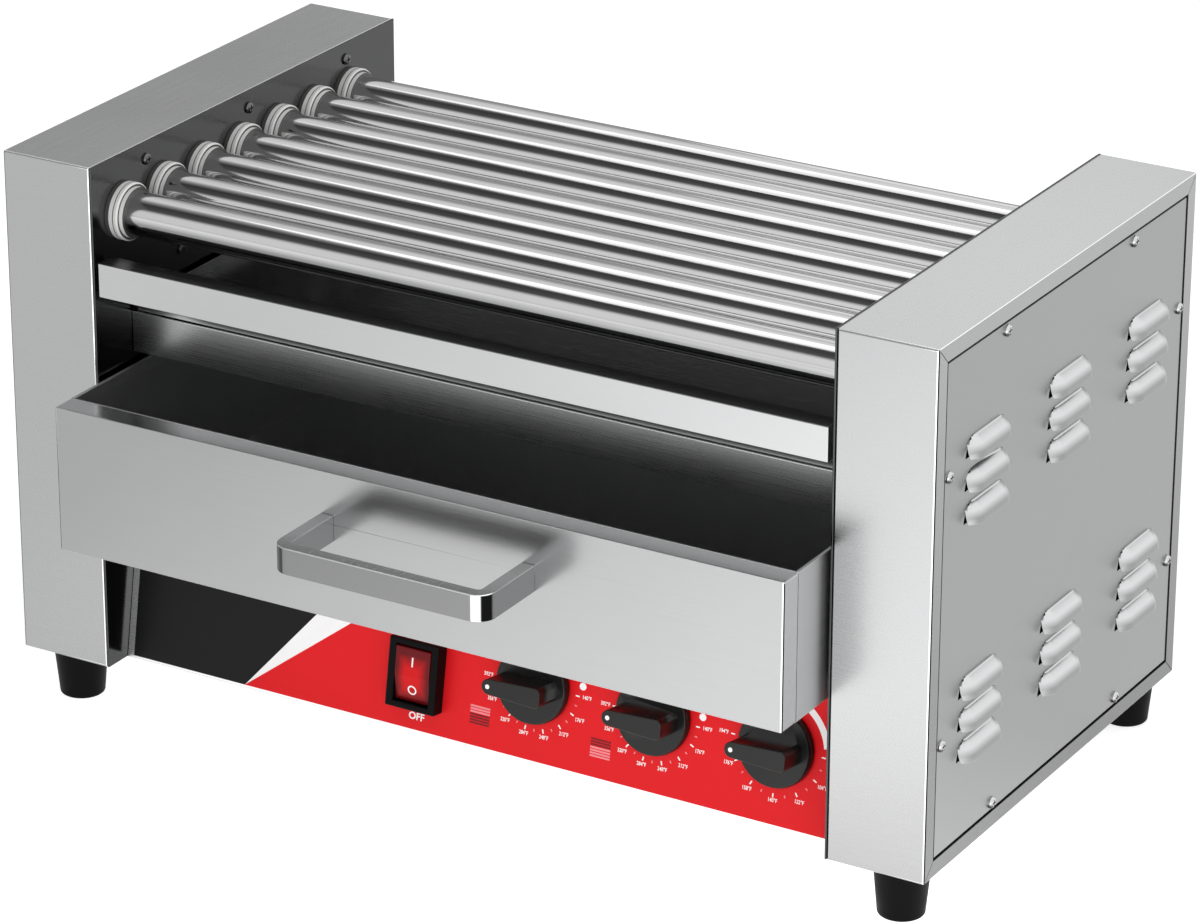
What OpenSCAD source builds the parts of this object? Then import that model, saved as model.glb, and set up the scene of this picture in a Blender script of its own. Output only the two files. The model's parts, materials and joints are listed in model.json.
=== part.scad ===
// Roller grill with a pull-out warming drawer, in millimetres.
// Two tall side housings carry seven turning, electrically heated rollers. A drip tray slides out
// below the rollers, a warming drawer slides out below the tray, and the controls lean back under it.
// X runs to the right, Y to the back and Z up. The origin is on the floor under the middle.

/* [Overall] */
// Width over the flat side flanges
width = 580; // [480:2:760]
// Depth of the side housings, front to back
depth = 306.4; // [290:0.2:330]
// Height of the side housings, without feet
height = 301; // [280:0.5:330]
// Width of each side housing
housing_w = 59.1; // [58:0.1:75]
// Thickness of the folded steel sheet
sheet = 1.2; // [0.8:0.1:1.6]
// Thickness of the lighter sheet of drawer and tray
thin_sheet = 1; // [0.7:0.1:1.4]

/* [Side housings] */
// Width of the flange round each side cover
rim = 10; // [8:0.5:14]
// Width of the mitre slits across the flange's corners
mitre_gap = 0.4; // [0.2:0.1:0.8]
// Gap round each side cover
cover_gap = 0.9; // [0.5:0.1:1.5]
// Depth of a side cover's face behind the flange
cover_sink = 0.4; // [0.2:0.1:1]
// Width of the ledge that a side cover is screwed to
ledge_w = 12; // [10:0.5:16]
// Width of the inward lip that backs each inner plate
lip_w = 13; // [10:0.5:14]
// Distance of the side cover screws from the cover's edge
cover_screw_inset = 4.5; // [4:0.5:6]
// Half the spacing of the screw pair on each side of a cover
cover_screw_half = 75.8; // [60:0.2:90]

/* [Louvres] */
// Columns of louvres on each side cover
louvre_cols = 3; // [2:1:3]
// Distance between louvre columns
louvre_col_pitch = 95.8; // [60:0.2:97]
// Louvres in each group
louvre_rows = 3; // [1:1:3]
// Distance between louvres in a group
louvre_row_pitch = 18.3; // [15:0.1:22]
// Distance between the upper and the lower groups
louvre_group_pitch = 136.2; // [110:0.2:145]
// Drop of the louvre pattern's middle below the cover's middle
louvre_drop = 1.8; // [0:0.2:6]
// Length of a louvre
louvre_len = 49; // [35:0.5:56]
// Height of a louvre
louvre_h = 11.5; // [8:0.5:14]
// Distance that a louvre stands out from the cover
louvre_proud = 7; // [4:0.5:8]
// Width of the open notch at the ends of a louvre
louvre_notch = 2.6; // [1:0.2:4]

/* [Rollers] */
// Number of rollers
roller_n = 7; // [5:1:7]
// Outer diameter of a roller tube
roller_d = 25; // [20:0.5:25]
// Wall of a roller tube
roller_wall = 1.2; // [0.8:0.1:2]
// Distance between rollers, in links of the drive chain
roller_links = 6; // [6:1:6]
// Distance of the first roller's axis from the housings' front
roller_first_y = 31.3; // [31:0.1:36]
// Distance of the rollers' axes below the housings' top
roller_drop = 34; // [32:0.5:40]
// Length of a roller inside each side housing, beyond the inner plate
roller_reach = 19; // [18.6:0.1:20]

/* [Bushes] */
// Running clearance of a shaft or roller in its bush, on the radius
running_fit = 0.06; // [0.02:0.01:0.1]
// Diameter of a roller bush's collar
bush_d = 33; // [31:0.5:34]
// Length of the collar in front of the inner plate
bush_collar = 5.6; // [4:0.2:8]
// Diameter of the bush's front lip
bush_lip_d = 29; // [28.4:0.2:30.5]
// Length of the front lip
bush_lip = 2.4; // [1:0.2:4]
// Diameter of the neck that passes the inner plate
bush_neck_d = 29.6; // [29:0.1:30]
// Depth of the groove round the collar
bush_groove = 0.7; // [0.3:0.1:1.2]

/* [Heating] */
// Diameter of the heating rod in each roller
rod_d = 8; // [6:0.5:12]
// Diameter of the tubular heater under the drawer
drawer_heater_d = 6.5; // [5:0.5:8]
// Distance between the runs of the heater under the drawer
drawer_heater_pitch = 50; // [36:1:56]
// Half the length of a straight run of that heater
drawer_heater_half = 160; // [100:2:170]

/* [Drive] */
// Pitch of the drive chain
chain_pitch = 6.35; // [6.35:0.05:6.35]
// Links in the whole drive chain
chain_links = 102; // [96:2:104]
// Diameter of a chain roller
chain_roller_d = 3.3; // [3:0.1:3.3]
// Height of a chain link plate
chain_plate_h = 4.8; // [4:0.1:4.8]
// Teeth on each roller's sprocket
roller_teeth = 16; // [16:1:16]
// Teeth on the motor's sprocket
motor_teeth = 12; // [12:1:13]
// Thickness of a sprocket
sprocket_t = 2.8; // [2:0.1:3]
// Distance from an inner plate's outer side to the sprockets' middle
chain_offset = 9.9; // [9:0.1:11]
// Diameter of the gear motor
motor_d = 60; // [50:1:66]
// Length of the gear motor
motor_len = 35; // [25:1:36]
// Diameter of the motor shaft
motor_shaft_d = 8; // [6:0.5:10]

/* [Controls] */
// Angle that the control panel leans back
panel_lean = 9.85; // [4:0.05:14]
// Distance of the panel's lower edge behind the housings' front
panel_inset = 17.9; // [14:0.1:22]
// Height of the panel's upper edge above the housings' bottom
panel_rise = 90.8; // [84:0.2:90.8]
// Bare margin at each side of the printed skin
skin_side = 4.6; // [2:0.2:10]
// Bare margin below the printed skin
skin_foot = 1.7; // [1:0.1:4]
// Thickness of the printed skin
skin_t = 0.3; // [0.2:0.05:0.5]
// Place of the skin's slanted stripe, at its lower end, left of the middle
stripe_x = 150; // [110:1:160]
// Width of the stripe, measured along the panel
stripe_w = 12; // [6:0.5:20]
// Angle of the stripe's slant from upright
stripe_slant = 40.6; // [0:0.2:45]
// Distance of the last knob's axis from the right inner plate
knob_side = 42.4; // [24:0.2:50]
// Distance between knobs
knob_pitch = 75.6; // [60:0.2:76]
// Height of the knobs up the leaning panel
knob_up = 45.5; // [38:0.5:48]
// Number of knobs
knob_n = 3; // [3:1:3]
// Diameter of a knob's round skirt
knob_d = 44.4; // [36:0.2:50]
// Thickness of the skirt
skirt_h = 5.5; // [3:0.5:8]
// Height of a knob above the panel
knob_h = 25; // [18:0.5:30]
// Length of the grip from the axis to its pointer end
grip_nose = 19.6; // [14:0.2:22]
// Length of the grip from the axis to its blunt end
grip_tail = 17; // [12:0.5:20]
// Width of the grip at its pointer end
grip_nose_w = 8.8; // [6:0.2:11]
// Width of the grip at its blunt end
grip_tail_w = 11.4; // [8:0.2:14]
// Diameter of a thermostat's spindle
spindle_d = 6; // [5:0.5:8]
// Width of a thermostat
thermostat_w = 36; // [28:1:44]
// Height of a thermostat
thermostat_h = 38; // [30:1:42]
// Depth of a thermostat behind the panel
thermostat_t = 26; // [20:1:34]

/* [Switch] */
// Distance of the switch's middle left of the first knob's axis
switch_gap = 73.3; // [44:0.1:100]
// Height of the switch's middle up the leaning panel
switch_up = 35; // [30:0.5:50]
// Width of the switch's bezel
bezel_w = 32; // [26:0.5:40]
// Height of the switch's bezel
bezel_h = 40; // [40:0.5:50]
// Distance that the bezel stands out from the panel
bezel_t = 9; // [5:0.5:12]
// Depth of the switch's body behind the panel
switch_deep = 22; // [18:0.5:28]
// Length of the switch's terminals
switch_tab = 10; // [6:0.5:12]
// Width of the rocker's window
window_w = 23; // [18:0.5:24]
// Height of the rocker's window
window_h = 33; // [28:0.5:36]
// Angle of the rocker to each side of level
rocker_tilt = 7; // [4:0.5:8]

/* [Drawer] */
// Gap between the drawer's underside and the top of the control panel
drawer_foot_gap = 0.5; // [0.4:0.1:2]
// Gap between the drawer's top and the crossbar
drawer_top_gap = 5.8; // [4:0.1:12]
// Gap between the drawer and each inner plate
drawer_gap = 2.6; // [2:0.1:5]
// Depth of the drawer body
drawer_len = 275; // [220:1:280]
// Thickness of the drawer's hollow front
front_t = 15; // [10:0.5:18]
// Distance that the drawer stands open
drawer_open = 44.6; // [0:0.2:150]
// Width of a runner's legs
runner_w = 12; // [8:0.5:18]

/* [Handle] */
// Width of the handle
handle_w = 134; // [90:1:200]
// Distance of the handle's middle right of the drawer's middle
handle_x = 13; // [0:1:40]
// Distance that the handle stands out from the drawer's front
handle_out = 49.5; // [30:0.5:60]
// Distance of the handle's middle below the drawer's top
handle_drop = 31.8; // [16:0.2:60]
// Height of the handle's bar
handle_h = 15.2; // [10:0.2:20]
// Thickness of the handle's bar
handle_bar = 8; // [7:0.5:12]
// Outer radius of the handle's corners
handle_r = 10.5; // [9:0.5:16]

/* [Crossbar and tray] */
// Distance of the crossbar's lower edge below the rollers' axes
crossbar_drop = 84.7; // [84:0.1:110]
// Height of the crossbar
crossbar_h = 24.1; // [16:0.1:24.6]
// Depth of the crossbar's lower fold
crossbar_fold = 11; // [8:0.5:12]
// Gap between the tray and each inner plate
tray_gap = 2.8; // [2:0.1:5]
// Height of the tray's side and back walls
tray_wall = 6.8; // [5:0.2:12]
// Height of the tray's shelf above its floor
tray_shelf = 19.6; // [14:0.2:22]
// Height of the tray's front lip
tray_lip = 19.8; // [12:0.2:20.4]
// Depth of the lip's upper hem
tray_hem = 13; // [8:0.5:20]
// Clearance of a sliding piece over what it rides on
slide_gap = 0.3; // [0.2:0.05:0.5]

/* [Feet and fasteners] */
// Height of a foot
foot_h = 28; // [15:0.5:50]
// Diameter of a foot at its top
foot_top_d = 31; // [28:0.5:34]
// Diameter of a foot at the floor
foot_low_d = 26; // [20:0.2:28]
// Distance of a foot's axis from the housing's front or back
foot_inset = 16; // [16:0.5:40]
// Distance of the left feet's axes from the left flange
foot_side_left = 28; // [20:0.5:36]
// Distance of the right feet's axes from the right flange
foot_side_right = 21; // [20:0.5:36]
// Shank diameter of the screws
screw_d = 4; // [3:0.5:4]
// Head diameter of the screws
head_d = 6.8; // [6:0.2:8]
// Head height of the screws
head_h = 2; // [1.4:0.1:2.4]
// Width of a nut over its corners
nut_d = 7.4; // [7:0.1:8]
// Thickness of a nut
nut_h = 2.4; // [2:0.1:3]
// Half the length of the row of screws above the rollers
plate_screw_half = 101; // [80:1:115]

/* [Inner frame] */
// Depth of the stiffening folds at the ends of shelf and back panel
fold = 12; // [8:0.5:13]
// Width of the tray's ledges
tray_ledge_w = 14; // [10:0.5:20]
// Height of the heater shelf
shelf_top = 75.2; // [70:0.2:78]
// Width of the bridges that hold the heating rods
bridge_w = 30; // [20:1:34]
// Gap between the roller ends and the bridges
bridge_gap = 6; // [4:0.5:8]
// Length of a rod's stud
stud_len = 8; // [5:0.5:12]
// Width of a terminal
terminal_w = 10; // [8:0.5:14]
// Depth of the terminal block
terminal_d = 22; // [18:1:30]
// Height of the terminal block
terminal_h = 17; // [14:0.5:24]
// Place of the terminal block right of the middle
terminal_x = 100; // [20:1:120]

/* [Back] */
// Distance of the back panel's top below the housings' top
back_drop = 53; // [51:1:100]
// Diameter of the cord's way through its gland
gland_bore = 8.4; // [6:0.2:12]
// Place of the cord gland right of the middle
gland_x = 180; // [120:1:205]
// Height of the cord gland
gland_z = 42; // [30:1:55]

/* [Hidden] */
$fn = 48;

steel = [0.74, 0.75, 0.75];
steel_dark = [0.6, 0.61, 0.62];
chrome = [0.86, 0.87, 0.88];
black = [0.08, 0.08, 0.09];
grip_grey = [0.2, 0.21, 0.21];
bush_white = [0.93, 0.93, 0.9];
red = [0.86, 0.14, 0.16];
charcoal = [0.16, 0.16, 0.17];

eps = 0.01; // overlap of pieces that are one sheet or one casting
cut = 1; // how far a cutting shape reaches past what it cuts

// Side housings: the inner plate's face toward the rollers, and the plate's back
plate_x = width / 2 - housing_w;
plate_back = plate_x + sheet;
flange_x = width / 2;
cover_face = flange_x - cover_sink;
cover_back = cover_face - sheet;
screw_hole_d = screw_d + 0.2;
lip_screw_drop = 0.79; // of the lip's width
low_screw_back = 1.36; // of the rollers' distance, behind the first roller
low_screw_drop = 39.8;

// Rollers
roller_z = height - roller_drop;
roller_pitch = roller_links * chain_pitch;
roller_last_y = roller_first_y + (roller_n - 1) * roller_pitch;
roller_mid_y = (roller_first_y + roller_last_y) / 2;
roller_end = plate_back + roller_reach - sheet;
snap_ring = 1.8; // thickness of the ring that holds a bush in its plate
snap_ring_d = 32;

// Leaning panel: its length, and the plane of its upper edge, shared with the crossbar
panel_len = panel_rise / cos(panel_lean);
panel_top_y = panel_inset + panel_rise * tan(panel_lean);
base_front = panel_inset + sheet / cos(panel_lean) + sheet * tan(panel_lean);
back_front = depth - sheet;

// Crossbar, tray and drawer
crossbar_z = roller_z - crossbar_drop;
crossbar_top = crossbar_z + crossbar_h;
drawer_z = panel_rise + drawer_foot_gap;
drawer_h = crossbar_z - drawer_top_gap - drawer_z;
tray_z = crossbar_top + slide_gap;
tray_front = panel_top_y + sheet + slide_gap + 0.3;
tray_back = depth - sheet - fold - 1.2;
tray_half = plate_x - tray_gap;
drawer_half = plate_x - drawer_gap;
drawer_front_y = -drawer_open;
drawer_body_y = drawer_front_y + front_t;
hem = 8; // depth of the doubled edge round the drawer's top
runner_y = panel_top_y + sheet + crossbar_fold + 1.6;
runner_back = tray_back;
handle_mid_z = drawer_z + drawer_h - handle_drop;
handle_screw_len = 12;

// Chain drive
chain_x = plate_back + chain_offset;
chain_side = chain_roller_d / 2 + 0.2; // half the gap between the link plates
link_t = 0.8;
tooth_gap = 0.3;
tooth_flare = 0.7; // how far a tooth space's round stands out from the chain's rollers
roller_wheel_r = roller_teeth * chain_pitch / (2 * PI);
motor_wheel_r = motor_teeth * chain_pitch / (2 * PI);
half_span = (roller_n - 1) * roller_pitch / 2;
half_links = chain_links / 2;
motor_drop = solve_drop(roller_pitch, half_links * chain_pitch / 2, 30);
motor_z = roller_z - motor_drop;
bracket_x = chain_x + chain_side + link_t + 1.8;
bracket_t = 1.5;
motor_x = bracket_x + bracket_t;
motor_end = motor_x + 14;

// Heating rods stand in a bracket beyond the roller ends
rod_bracket_x = roller_end + bridge_gap;
rod_end = rod_bracket_x + 2 * bracket_t + 2;
drawer_heater_z = shelf_top + slide_gap + drawer_heater_d / 2;
drawer_heater_n = 4;
drawer_heater_y = 80;

// Overall box: the origin is under its middle
back_h = height - back_drop;
handle_front = drawer_front_y - handle_out;
gland_out = 10;
gland_wall = 4;
part_back = depth + gland_out;
mid_y = (handle_front + part_back) / 2;

// Angle of the slanted stretch of chain, measured at both sprockets
function chain_turn(drop) =
    atan2(drop, half_span) - acos((motor_wheel_r - roller_wheel_r) / norm([half_span, drop]));
function chain_slope(drop) =
    sqrt(half_span ^ 2 + drop ^ 2 - (roller_wheel_r - motor_wheel_r) ^ 2);
function chain_half(drop) = half_span + roller_wheel_r * (90 - chain_turn(drop)) * PI / 180
    + chain_slope(drop) + motor_wheel_r * (90 + chain_turn(drop)) * PI / 180;
// Height of the rollers above the motor at which the chain's length comes out in whole links
function solve_drop(low, high, steps) = let (mid = (low + high) / 2)
    steps == 0 ? mid
    : chain_half(mid) > half_links * chain_pitch ? solve_drop(low, mid, steps - 1)
    : solve_drop(mid, high, steps - 1);
// Point [y, z] at a length s along the chain's rear half, from the middle roller's top
function chain_point(s) = let (
        turn = chain_turn(motor_drop),
        wrap = roller_wheel_r * (90 - turn) * PI / 180,
        slope = chain_slope(motor_drop),
        on_wrap = s - half_span,
        on_slope = on_wrap - wrap,
        on_motor = on_slope - slope,
        leave = [half_span, 0] + roller_wheel_r * [cos(turn), sin(turn)])
    s <= half_span ? [s, roller_wheel_r]
    : on_slope <= 0 ? [half_span, 0] + roller_wheel_r
        * [cos(90 - on_wrap / roller_wheel_r * 180 / PI), sin(90 - on_wrap / roller_wheel_r * 180 / PI)]
    : on_motor <= 0 ? leave + on_slope * [sin(turn), -cos(turn)]
    : [0, -motor_drop] + motor_wheel_r
        * [cos(turn - on_motor / motor_wheel_r * 180 / PI), sin(turn - on_motor / motor_wheel_r * 180 / PI)];

// Stands the housings' own frame over the origin
module placed() {
    translate([0, -mid_y, foot_h]) children();
}

// Draws the children for the right side, or mirrored for the left
module on_side(side) {
    mirror([side < 0 ? 1 : 0, 0, 0]) children();
}

// A box from its low corner to its high corner
module block(low, high) {
    translate(low) cube(high - low);
}

// Children drawn in the Y-Z plane, thickened along X from x
module across(x, t) {
    translate([x, 0, 0]) rotate([90, 0, 90]) linear_extrude(t) children();
}

// Children that point up Z, turned to point along X from a place
module along_x(at) {
    translate(at) rotate([0, 90, 0]) children();
}

// Children in the leaning panel's frame: x across, y up the panel, z out of its face
module on_panel(across_x, up_y) {
    translate([0, panel_inset, 0]) rotate([90 - panel_lean, 0, 0]) translate([across_x, up_y, 0]) children();
}

// A rectangular ring in the Y-Z plane, a to b from the housing's outline, thickened along X
module ring_plate(x0, x1, a, b) {
    difference() {
        block([x0, a, a], [x1, depth - a, height - a]);
        block([x0 - cut, b, b], [x1 + cut, depth - b, height - b]);
    }
}

// A pan head screw that points down Z, with its head's seat at z = 0
module screw(shank) {
    difference() {
        rotate_extrude() polygon([[0, -shank], [screw_d / 2, -shank], [screw_d / 2, 0], [head_d / 2, 0],
            [head_d / 2, head_h * 0.45], [head_d * 0.41, head_h * 0.8], [head_d * 0.27, head_h], [0, head_h]]);
        for (a = [0, 90])
            rotate(a) translate([-head_d * 0.27, -0.4, head_h * 0.4]) cube([head_d * 0.54, 0.8, head_h]);
    }
}

// Places [y, z] of the screws round a side cover
function cover_screw_places() = let (e = rim + cover_gap + cover_screw_inset)
    [for (s = [-1, 1], u = [-1, 1])
        each [[depth / 2 + s * cover_screw_half, u < 0 ? e : height - e],
            [u < 0 ? e : depth - e, height / 2 + s * cover_screw_half]]];

// Places [y, z] of the screws in an inner plate: a row through the lip, and one lower down
lip_screws = [for (s = [-1, 0, 1]) [depth / 2 + s * plate_screw_half, height - lip_screw_drop * lip_w]];
low_screw = [roller_first_y + low_screw_back * roller_pitch, roller_z - low_screw_drop];
plate_screw_places = [each lip_screws, low_screw];

// Mitre slits across the flange's four corners; they start inside the bends
module mitre_slits() {
    for (y = [0, 1])
        for (z = [0, 1])
            translate([flange_x - sheet, y * depth, z * height])
                mirror([0, y, 0]) mirror([0, 0, z]) rotate([45, 0, 0])
                    block([0, 2 * sheet, -mitre_gap / 2], [sheet + cut, 1.5 * rim, mitre_gap / 2]);
}

module housing(side) {
    color(steel) placed() on_side(side) {
        difference() {
            union() {
                difference() {
                    block([plate_back, 0, 0], [flange_x, depth, height]);
                    block([plate_back - cut, sheet, sheet], [flange_x - sheet, depth - sheet, height - sheet]);
                    block([plate_back, rim, rim], [flange_x + cut, depth - rim, height - rim]);
                }
                ring_plate(plate_back, plate_back + sheet, sheet - eps, lip_w);
                ring_plate(cover_back - sheet, flange_x - sheet + eps, rim - sheet, rim);
                ring_plate(cover_back - sheet, cover_back, rim - sheet, rim + ledge_w);
            }
            mitre_slits();
            for (p = cover_screw_places())
                along_x([cover_back - sheet - cut, p[0], p[1]]) cylinder(h = sheet + 2 * cut, d = screw_hole_d);
            for (p = plate_screw_places)
                along_x([plate_back - cut, p[0], p[1]]) cylinder(h = sheet + 2 * cut, d = screw_hole_d);
            for (y = foot_places_y)
                translate([foot_x(side), y, -cut]) cylinder(h = sheet + 2 * cut, d = foot_screw_d + 0.4);
        }
    }
}

// Foot axes: distance from the middle on each side, and places along a housing
function foot_x(side) = flange_x - (side < 0 ? foot_side_left : foot_side_right);
foot_places_y = [foot_inset, depth - foot_inset];
foot_screw_d = 5;

module left_housing() {
    housing(-1);
}

module right_housing() {
    housing(1);
}

// Inner plate with the bush holes and screw holes
module inner_plate(side) {
    color(steel_dark) placed() on_side(side) difference() {
        block([plate_x, 0, 0], [plate_back, depth, height]);
        for (i = [0:roller_n - 1])
            along_x([plate_x - cut, roller_first_y + i * roller_pitch, roller_z])
                cylinder(h = sheet + 2 * cut, d = bush_neck_d + 0.1);
        for (p = plate_screw_places)
            along_x([plate_x - cut, p[0], p[1]]) cylinder(h = sheet + 2 * cut, d = screw_hole_d);
        if (side > 0)
            for (i = [0, drawer_heater_n - 1])
                along_x([plate_x - cut, drawer_heater_y + i * drawer_heater_pitch, drawer_heater_z])
                    cylinder(h = sheet + 2 * cut, d = drawer_heater_d + 2 * slide_gap);
    }
}

module left_inner_plate() {
    inner_plate(-1);
}

module right_inner_plate() {
    inner_plate(1);
}

// Radius of the round that a louvre is part of, and the depth of its middle behind the cover's face
louvre_r = (louvre_proud ^ 2 + louvre_h ^ 2) / (2 * louvre_proud);
louvre_in = louvre_r - louvre_proud;

// Places [y, z] of the louvres: each one's middle and its lower edge
function louvre_places() = [for (c = [0:louvre_cols - 1], g = [-1, 1], r = [0:louvre_rows - 1])
    [depth / 2 + (c - (louvre_cols - 1) / 2) * louvre_col_pitch,
        height / 2 - louvre_drop + g * louvre_group_pitch / 2 - louvre_h / 2
            + (r - (louvre_rows - 1) / 2) * louvre_row_pitch]];

// A round-ended bar that the louvres are cut from, with its upper half kept
module louvre_form(r, x0) {
    run = louvre_len - 2 * louvre_h;
    intersection() {
        translate([-louvre_in, 0, 0]) {
            translate([0, -run / 2, 0]) rotate([-90, 0, 0]) cylinder(h = run, r = r);
            for (s = [-1, 1])
                translate([0, s * run / 2, 0]) sphere(r = r);
        }
        block([x0, -louvre_len, 0], [louvre_proud + cut, louvre_len, louvre_h + cut]);
    }
}

module cover(side) {
    e = rim + cover_gap;
    color(steel) placed() on_side(side) difference() {
        union() {
            block([cover_back, e, e], [cover_face, depth - e, height - e]);
            for (p = louvre_places())
                translate([cover_face, p[0], p[1]]) louvre_form(louvre_r, -sheet / 2);
        }
        for (p = louvre_places())
            translate([cover_face, p[0], p[1]]) {
                louvre_form(louvre_r - thin_sheet, -sheet - cut);
                translate([0, louvre_len / 2 + cut, 0]) rotate([90, 0, 0])
                    linear_extrude(louvre_len + 2 * cut)
                        polygon([[0, -eps], [louvre_notch, -eps], [0, louvre_h * 0.6]]);
            }
        for (p = cover_screw_places())
            along_x([cover_back - cut, p[0], p[1]]) cylinder(h = sheet + 2 * cut, d = screw_hole_d);
    }
}

module left_cover() {
    cover(-1);
}

module right_cover() {
    cover(1);
}

module cover_screws() {
    color(chrome) placed() for (side = [-1, 1]) on_side(side)
        for (p = cover_screw_places()) along_x([cover_face, p[0], p[1]]) screw(6);
}

// Inner plate screws, each with a nut behind the sheets it holds
module plate_screws() {
    color(chrome) placed() for (side = [-1, 1]) on_side(side)
        for (p = plate_screw_places) {
            seat = plate_back + (p == low_screw ? 0 : sheet);
            translate([plate_x, p[0], p[1]]) rotate([0, -90, 0]) screw(2 * sheet + nut_h + 2.7);
            along_x([seat, p[0], p[1]]) difference() {
                cylinder(h = nut_h, d = nut_d, $fn = 6);
                translate([0, 0, -cut]) cylinder(h = nut_h + 2 * cut, d = screw_d + 0.1);
            }
        }
}

// A tapered rubber foot, hollowed for its screw
module foot(side, y) {
    low_r = foot_low_d / 2;
    edge_r = 1.6;
    well_r = 6.5; // room for the screw's head
    color(black) placed() on_side(side) translate([foot_x(side), y, -foot_h]) rotate_extrude() difference() {
        union() {
            polygon([[0, edge_r], [low_r, edge_r], [foot_top_d / 2, foot_h], [0, foot_h]]);
            square([low_r - edge_r, 2 * edge_r]);
            translate([low_r - edge_r, edge_r]) circle(r = edge_r);
        }
        translate([-cut - foot_top_d, -cut]) square([cut + foot_top_d, foot_h + 2 * cut]);
        translate([-cut, -cut]) square([cut + well_r, cut + foot_h * 0.6]);
        translate([-cut, -cut]) square([cut + foot_screw_d / 2 + 0.3, foot_h + 2 * cut]);
    }
}

module foot_front_left() {
    foot(-1, foot_inset);
}

module foot_front_right() {
    foot(1, foot_inset);
}

module foot_rear_left() {
    foot(-1, depth - foot_inset);
}

module foot_rear_right() {
    foot(1, depth - foot_inset);
}

// Foot screws with their nuts inside the housings
module foot_screws() {
    seat = foot_h * 0.4;
    head_t = 3;
    head_w = 9.4;
    slot_w = 1.2;
    nut_t = 4;
    nut_w = 9;
    reach = 8; // thread above the foot
    color(chrome) placed() for (side = [-1, 1], y = foot_places_y)
        on_side(side) translate([foot_x(side), y, 0]) {
            difference() {
                translate([0, 0, -seat - head_t]) cylinder(h = head_t, d = head_w);
                translate([-head_w / 2 - cut, -slot_w / 2, -seat - head_t - cut])
                    cube([head_w + 2 * cut, slot_w, slot_w + cut]);
            }
            translate([0, 0, -seat - eps]) cylinder(h = seat + reach, d = foot_screw_d);
            translate([0, 0, sheet]) difference() {
                cylinder(h = nut_t, d = nut_w, $fn = 6);
                translate([0, 0, -cut]) cylinder(h = nut_t + 2 * cut, d = foot_screw_d + 0.1);
            }
        }
}

module base_pan() {
    color(steel_dark) placed() block([-plate_x, base_front, 0], [plate_x, back_front, sheet]);
}

// Back panel with side folds, a row of slots and the cord gland's hole
module back_panel() {
    slot_n = 9;
    slot_pitch = 30;
    slot_w = 4;
    slot_low = 24;
    slot_top = 60;
    inset = 6; // of the side folds from the panel's ends
    color(steel_dark) placed() difference() {
        union() {
            block([-plate_x, back_front, 0], [plate_x, depth, back_h]);
            for (side = [-1, 1])
                on_side(side) block([plate_x - sheet, back_front - fold, inset],
                    [plate_x, depth - eps, back_h - inset]);
        }
        translate([gland_x, back_front - cut, gland_z]) rotate([-90, 0, 0])
            cylinder(h = sheet + 2 * cut, d = gland_bore + 2 * gland_wall + 0.2);
        for (i = [0:slot_n - 1])
            translate([(i - slot_n / 2) * slot_pitch, 0, 0])
                block([-slot_w / 2, back_front - cut, slot_low], [slot_w / 2, depth + cut, slot_top]);
    }
}

// Cord gland: a threaded sleeve through the back panel, clamped by a nut on each side
module cord_gland() {
    bore = gland_bore / 2;
    neck = bore + gland_wall;
    rim_r = neck + 4;
    nut_t = 5;
    inner_end = -13;
    color(black) placed() translate([gland_x, depth, gland_z]) rotate([-90, 0, 0]) rotate_extrude()
        polygon([[bore, inner_end], [neck, inner_end], [neck, -sheet - nut_t], [rim_r, -sheet - nut_t],
            [rim_r, -sheet], [neck, -sheet], [neck, 0], [rim_r, 0], [rim_r, nut_t],
            [neck + 2, gland_out - 2], [neck - 1, gland_out], [bore, gland_out]]);
}

// Leaning control panel with an upper fold, a switch cutout and a hole for each thermostat's neck
module control_panel() {
    back = runner_y - 0.6;
    inside = panel_inset + sheet / cos(panel_lean);
    color(steel) placed() difference() {
        across(-plate_x, 2 * plate_x) polygon([[panel_inset, 0], [panel_top_y, panel_rise],
            [back, panel_rise], [back, panel_rise - sheet],
            [inside + (panel_rise - sheet) * tan(panel_lean), panel_rise - sheet], [inside, 0]]);
        for (i = [1:knob_n])
            on_panel(knob_x(i), knob_up) translate([0, 0, -sheet - cut])
                cylinder(h = sheet + 2 * cut, d = neck_d + 0.6);
        on_panel(switch_x, switch_up) switch_cutout(-sheet - cut, cut);
    }
}

// Place of a knob's axis across the panel, counted from the left
function knob_x(i) = plate_x - knob_side - (knob_n - i) * knob_pitch;
switch_x = knob_x(1) - switch_gap;
neck_d = spindle_d + 4.6;
body_w = window_w + 4.4;
body_h = window_h + 6;

module switch_cutout(z0, z1) {
    w = body_w / 2 + 0.3;
    h = body_h / 2 + 0.3;
    block([-w, -h, z0], [w, h, z1]);
}

// Printed skin on the panel, between two slanted edges a and b measured along its foot
module skin(tint, a, b) {
    top = panel_len - 1;
    lean_a = a <= -plate_x ? 0 : (top - skin_foot) * tan(stripe_slant);
    lean_b = b >= plate_x ? 0 : (top - skin_foot) * tan(stripe_slant);
    left = max(a, -plate_x + skin_side);
    right = min(b, plate_x - skin_side);
    color(tint) placed() difference() {
        on_panel(0, 0) linear_extrude(skin_t)
            polygon([[left, skin_foot], [right, skin_foot], [right + lean_b, top], [left + lean_a, top]]);
        for (i = [1:knob_n])
            on_panel(knob_x(i), knob_up) translate([0, 0, -cut])
                cylinder(h = skin_t + 2 * cut, d = neck_d + 0.6);
        on_panel(switch_x, switch_up) switch_cutout(-cut, skin_t + cut);
    }
}

module skin_charcoal() {
    skin(charcoal, -plate_x, -stripe_x);
}

module skin_stripe() {
    skin("white", -stripe_x, stripe_w - stripe_x);
}

module skin_red() {
    skin(red, stripe_w - stripe_x, plate_x);
}

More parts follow.
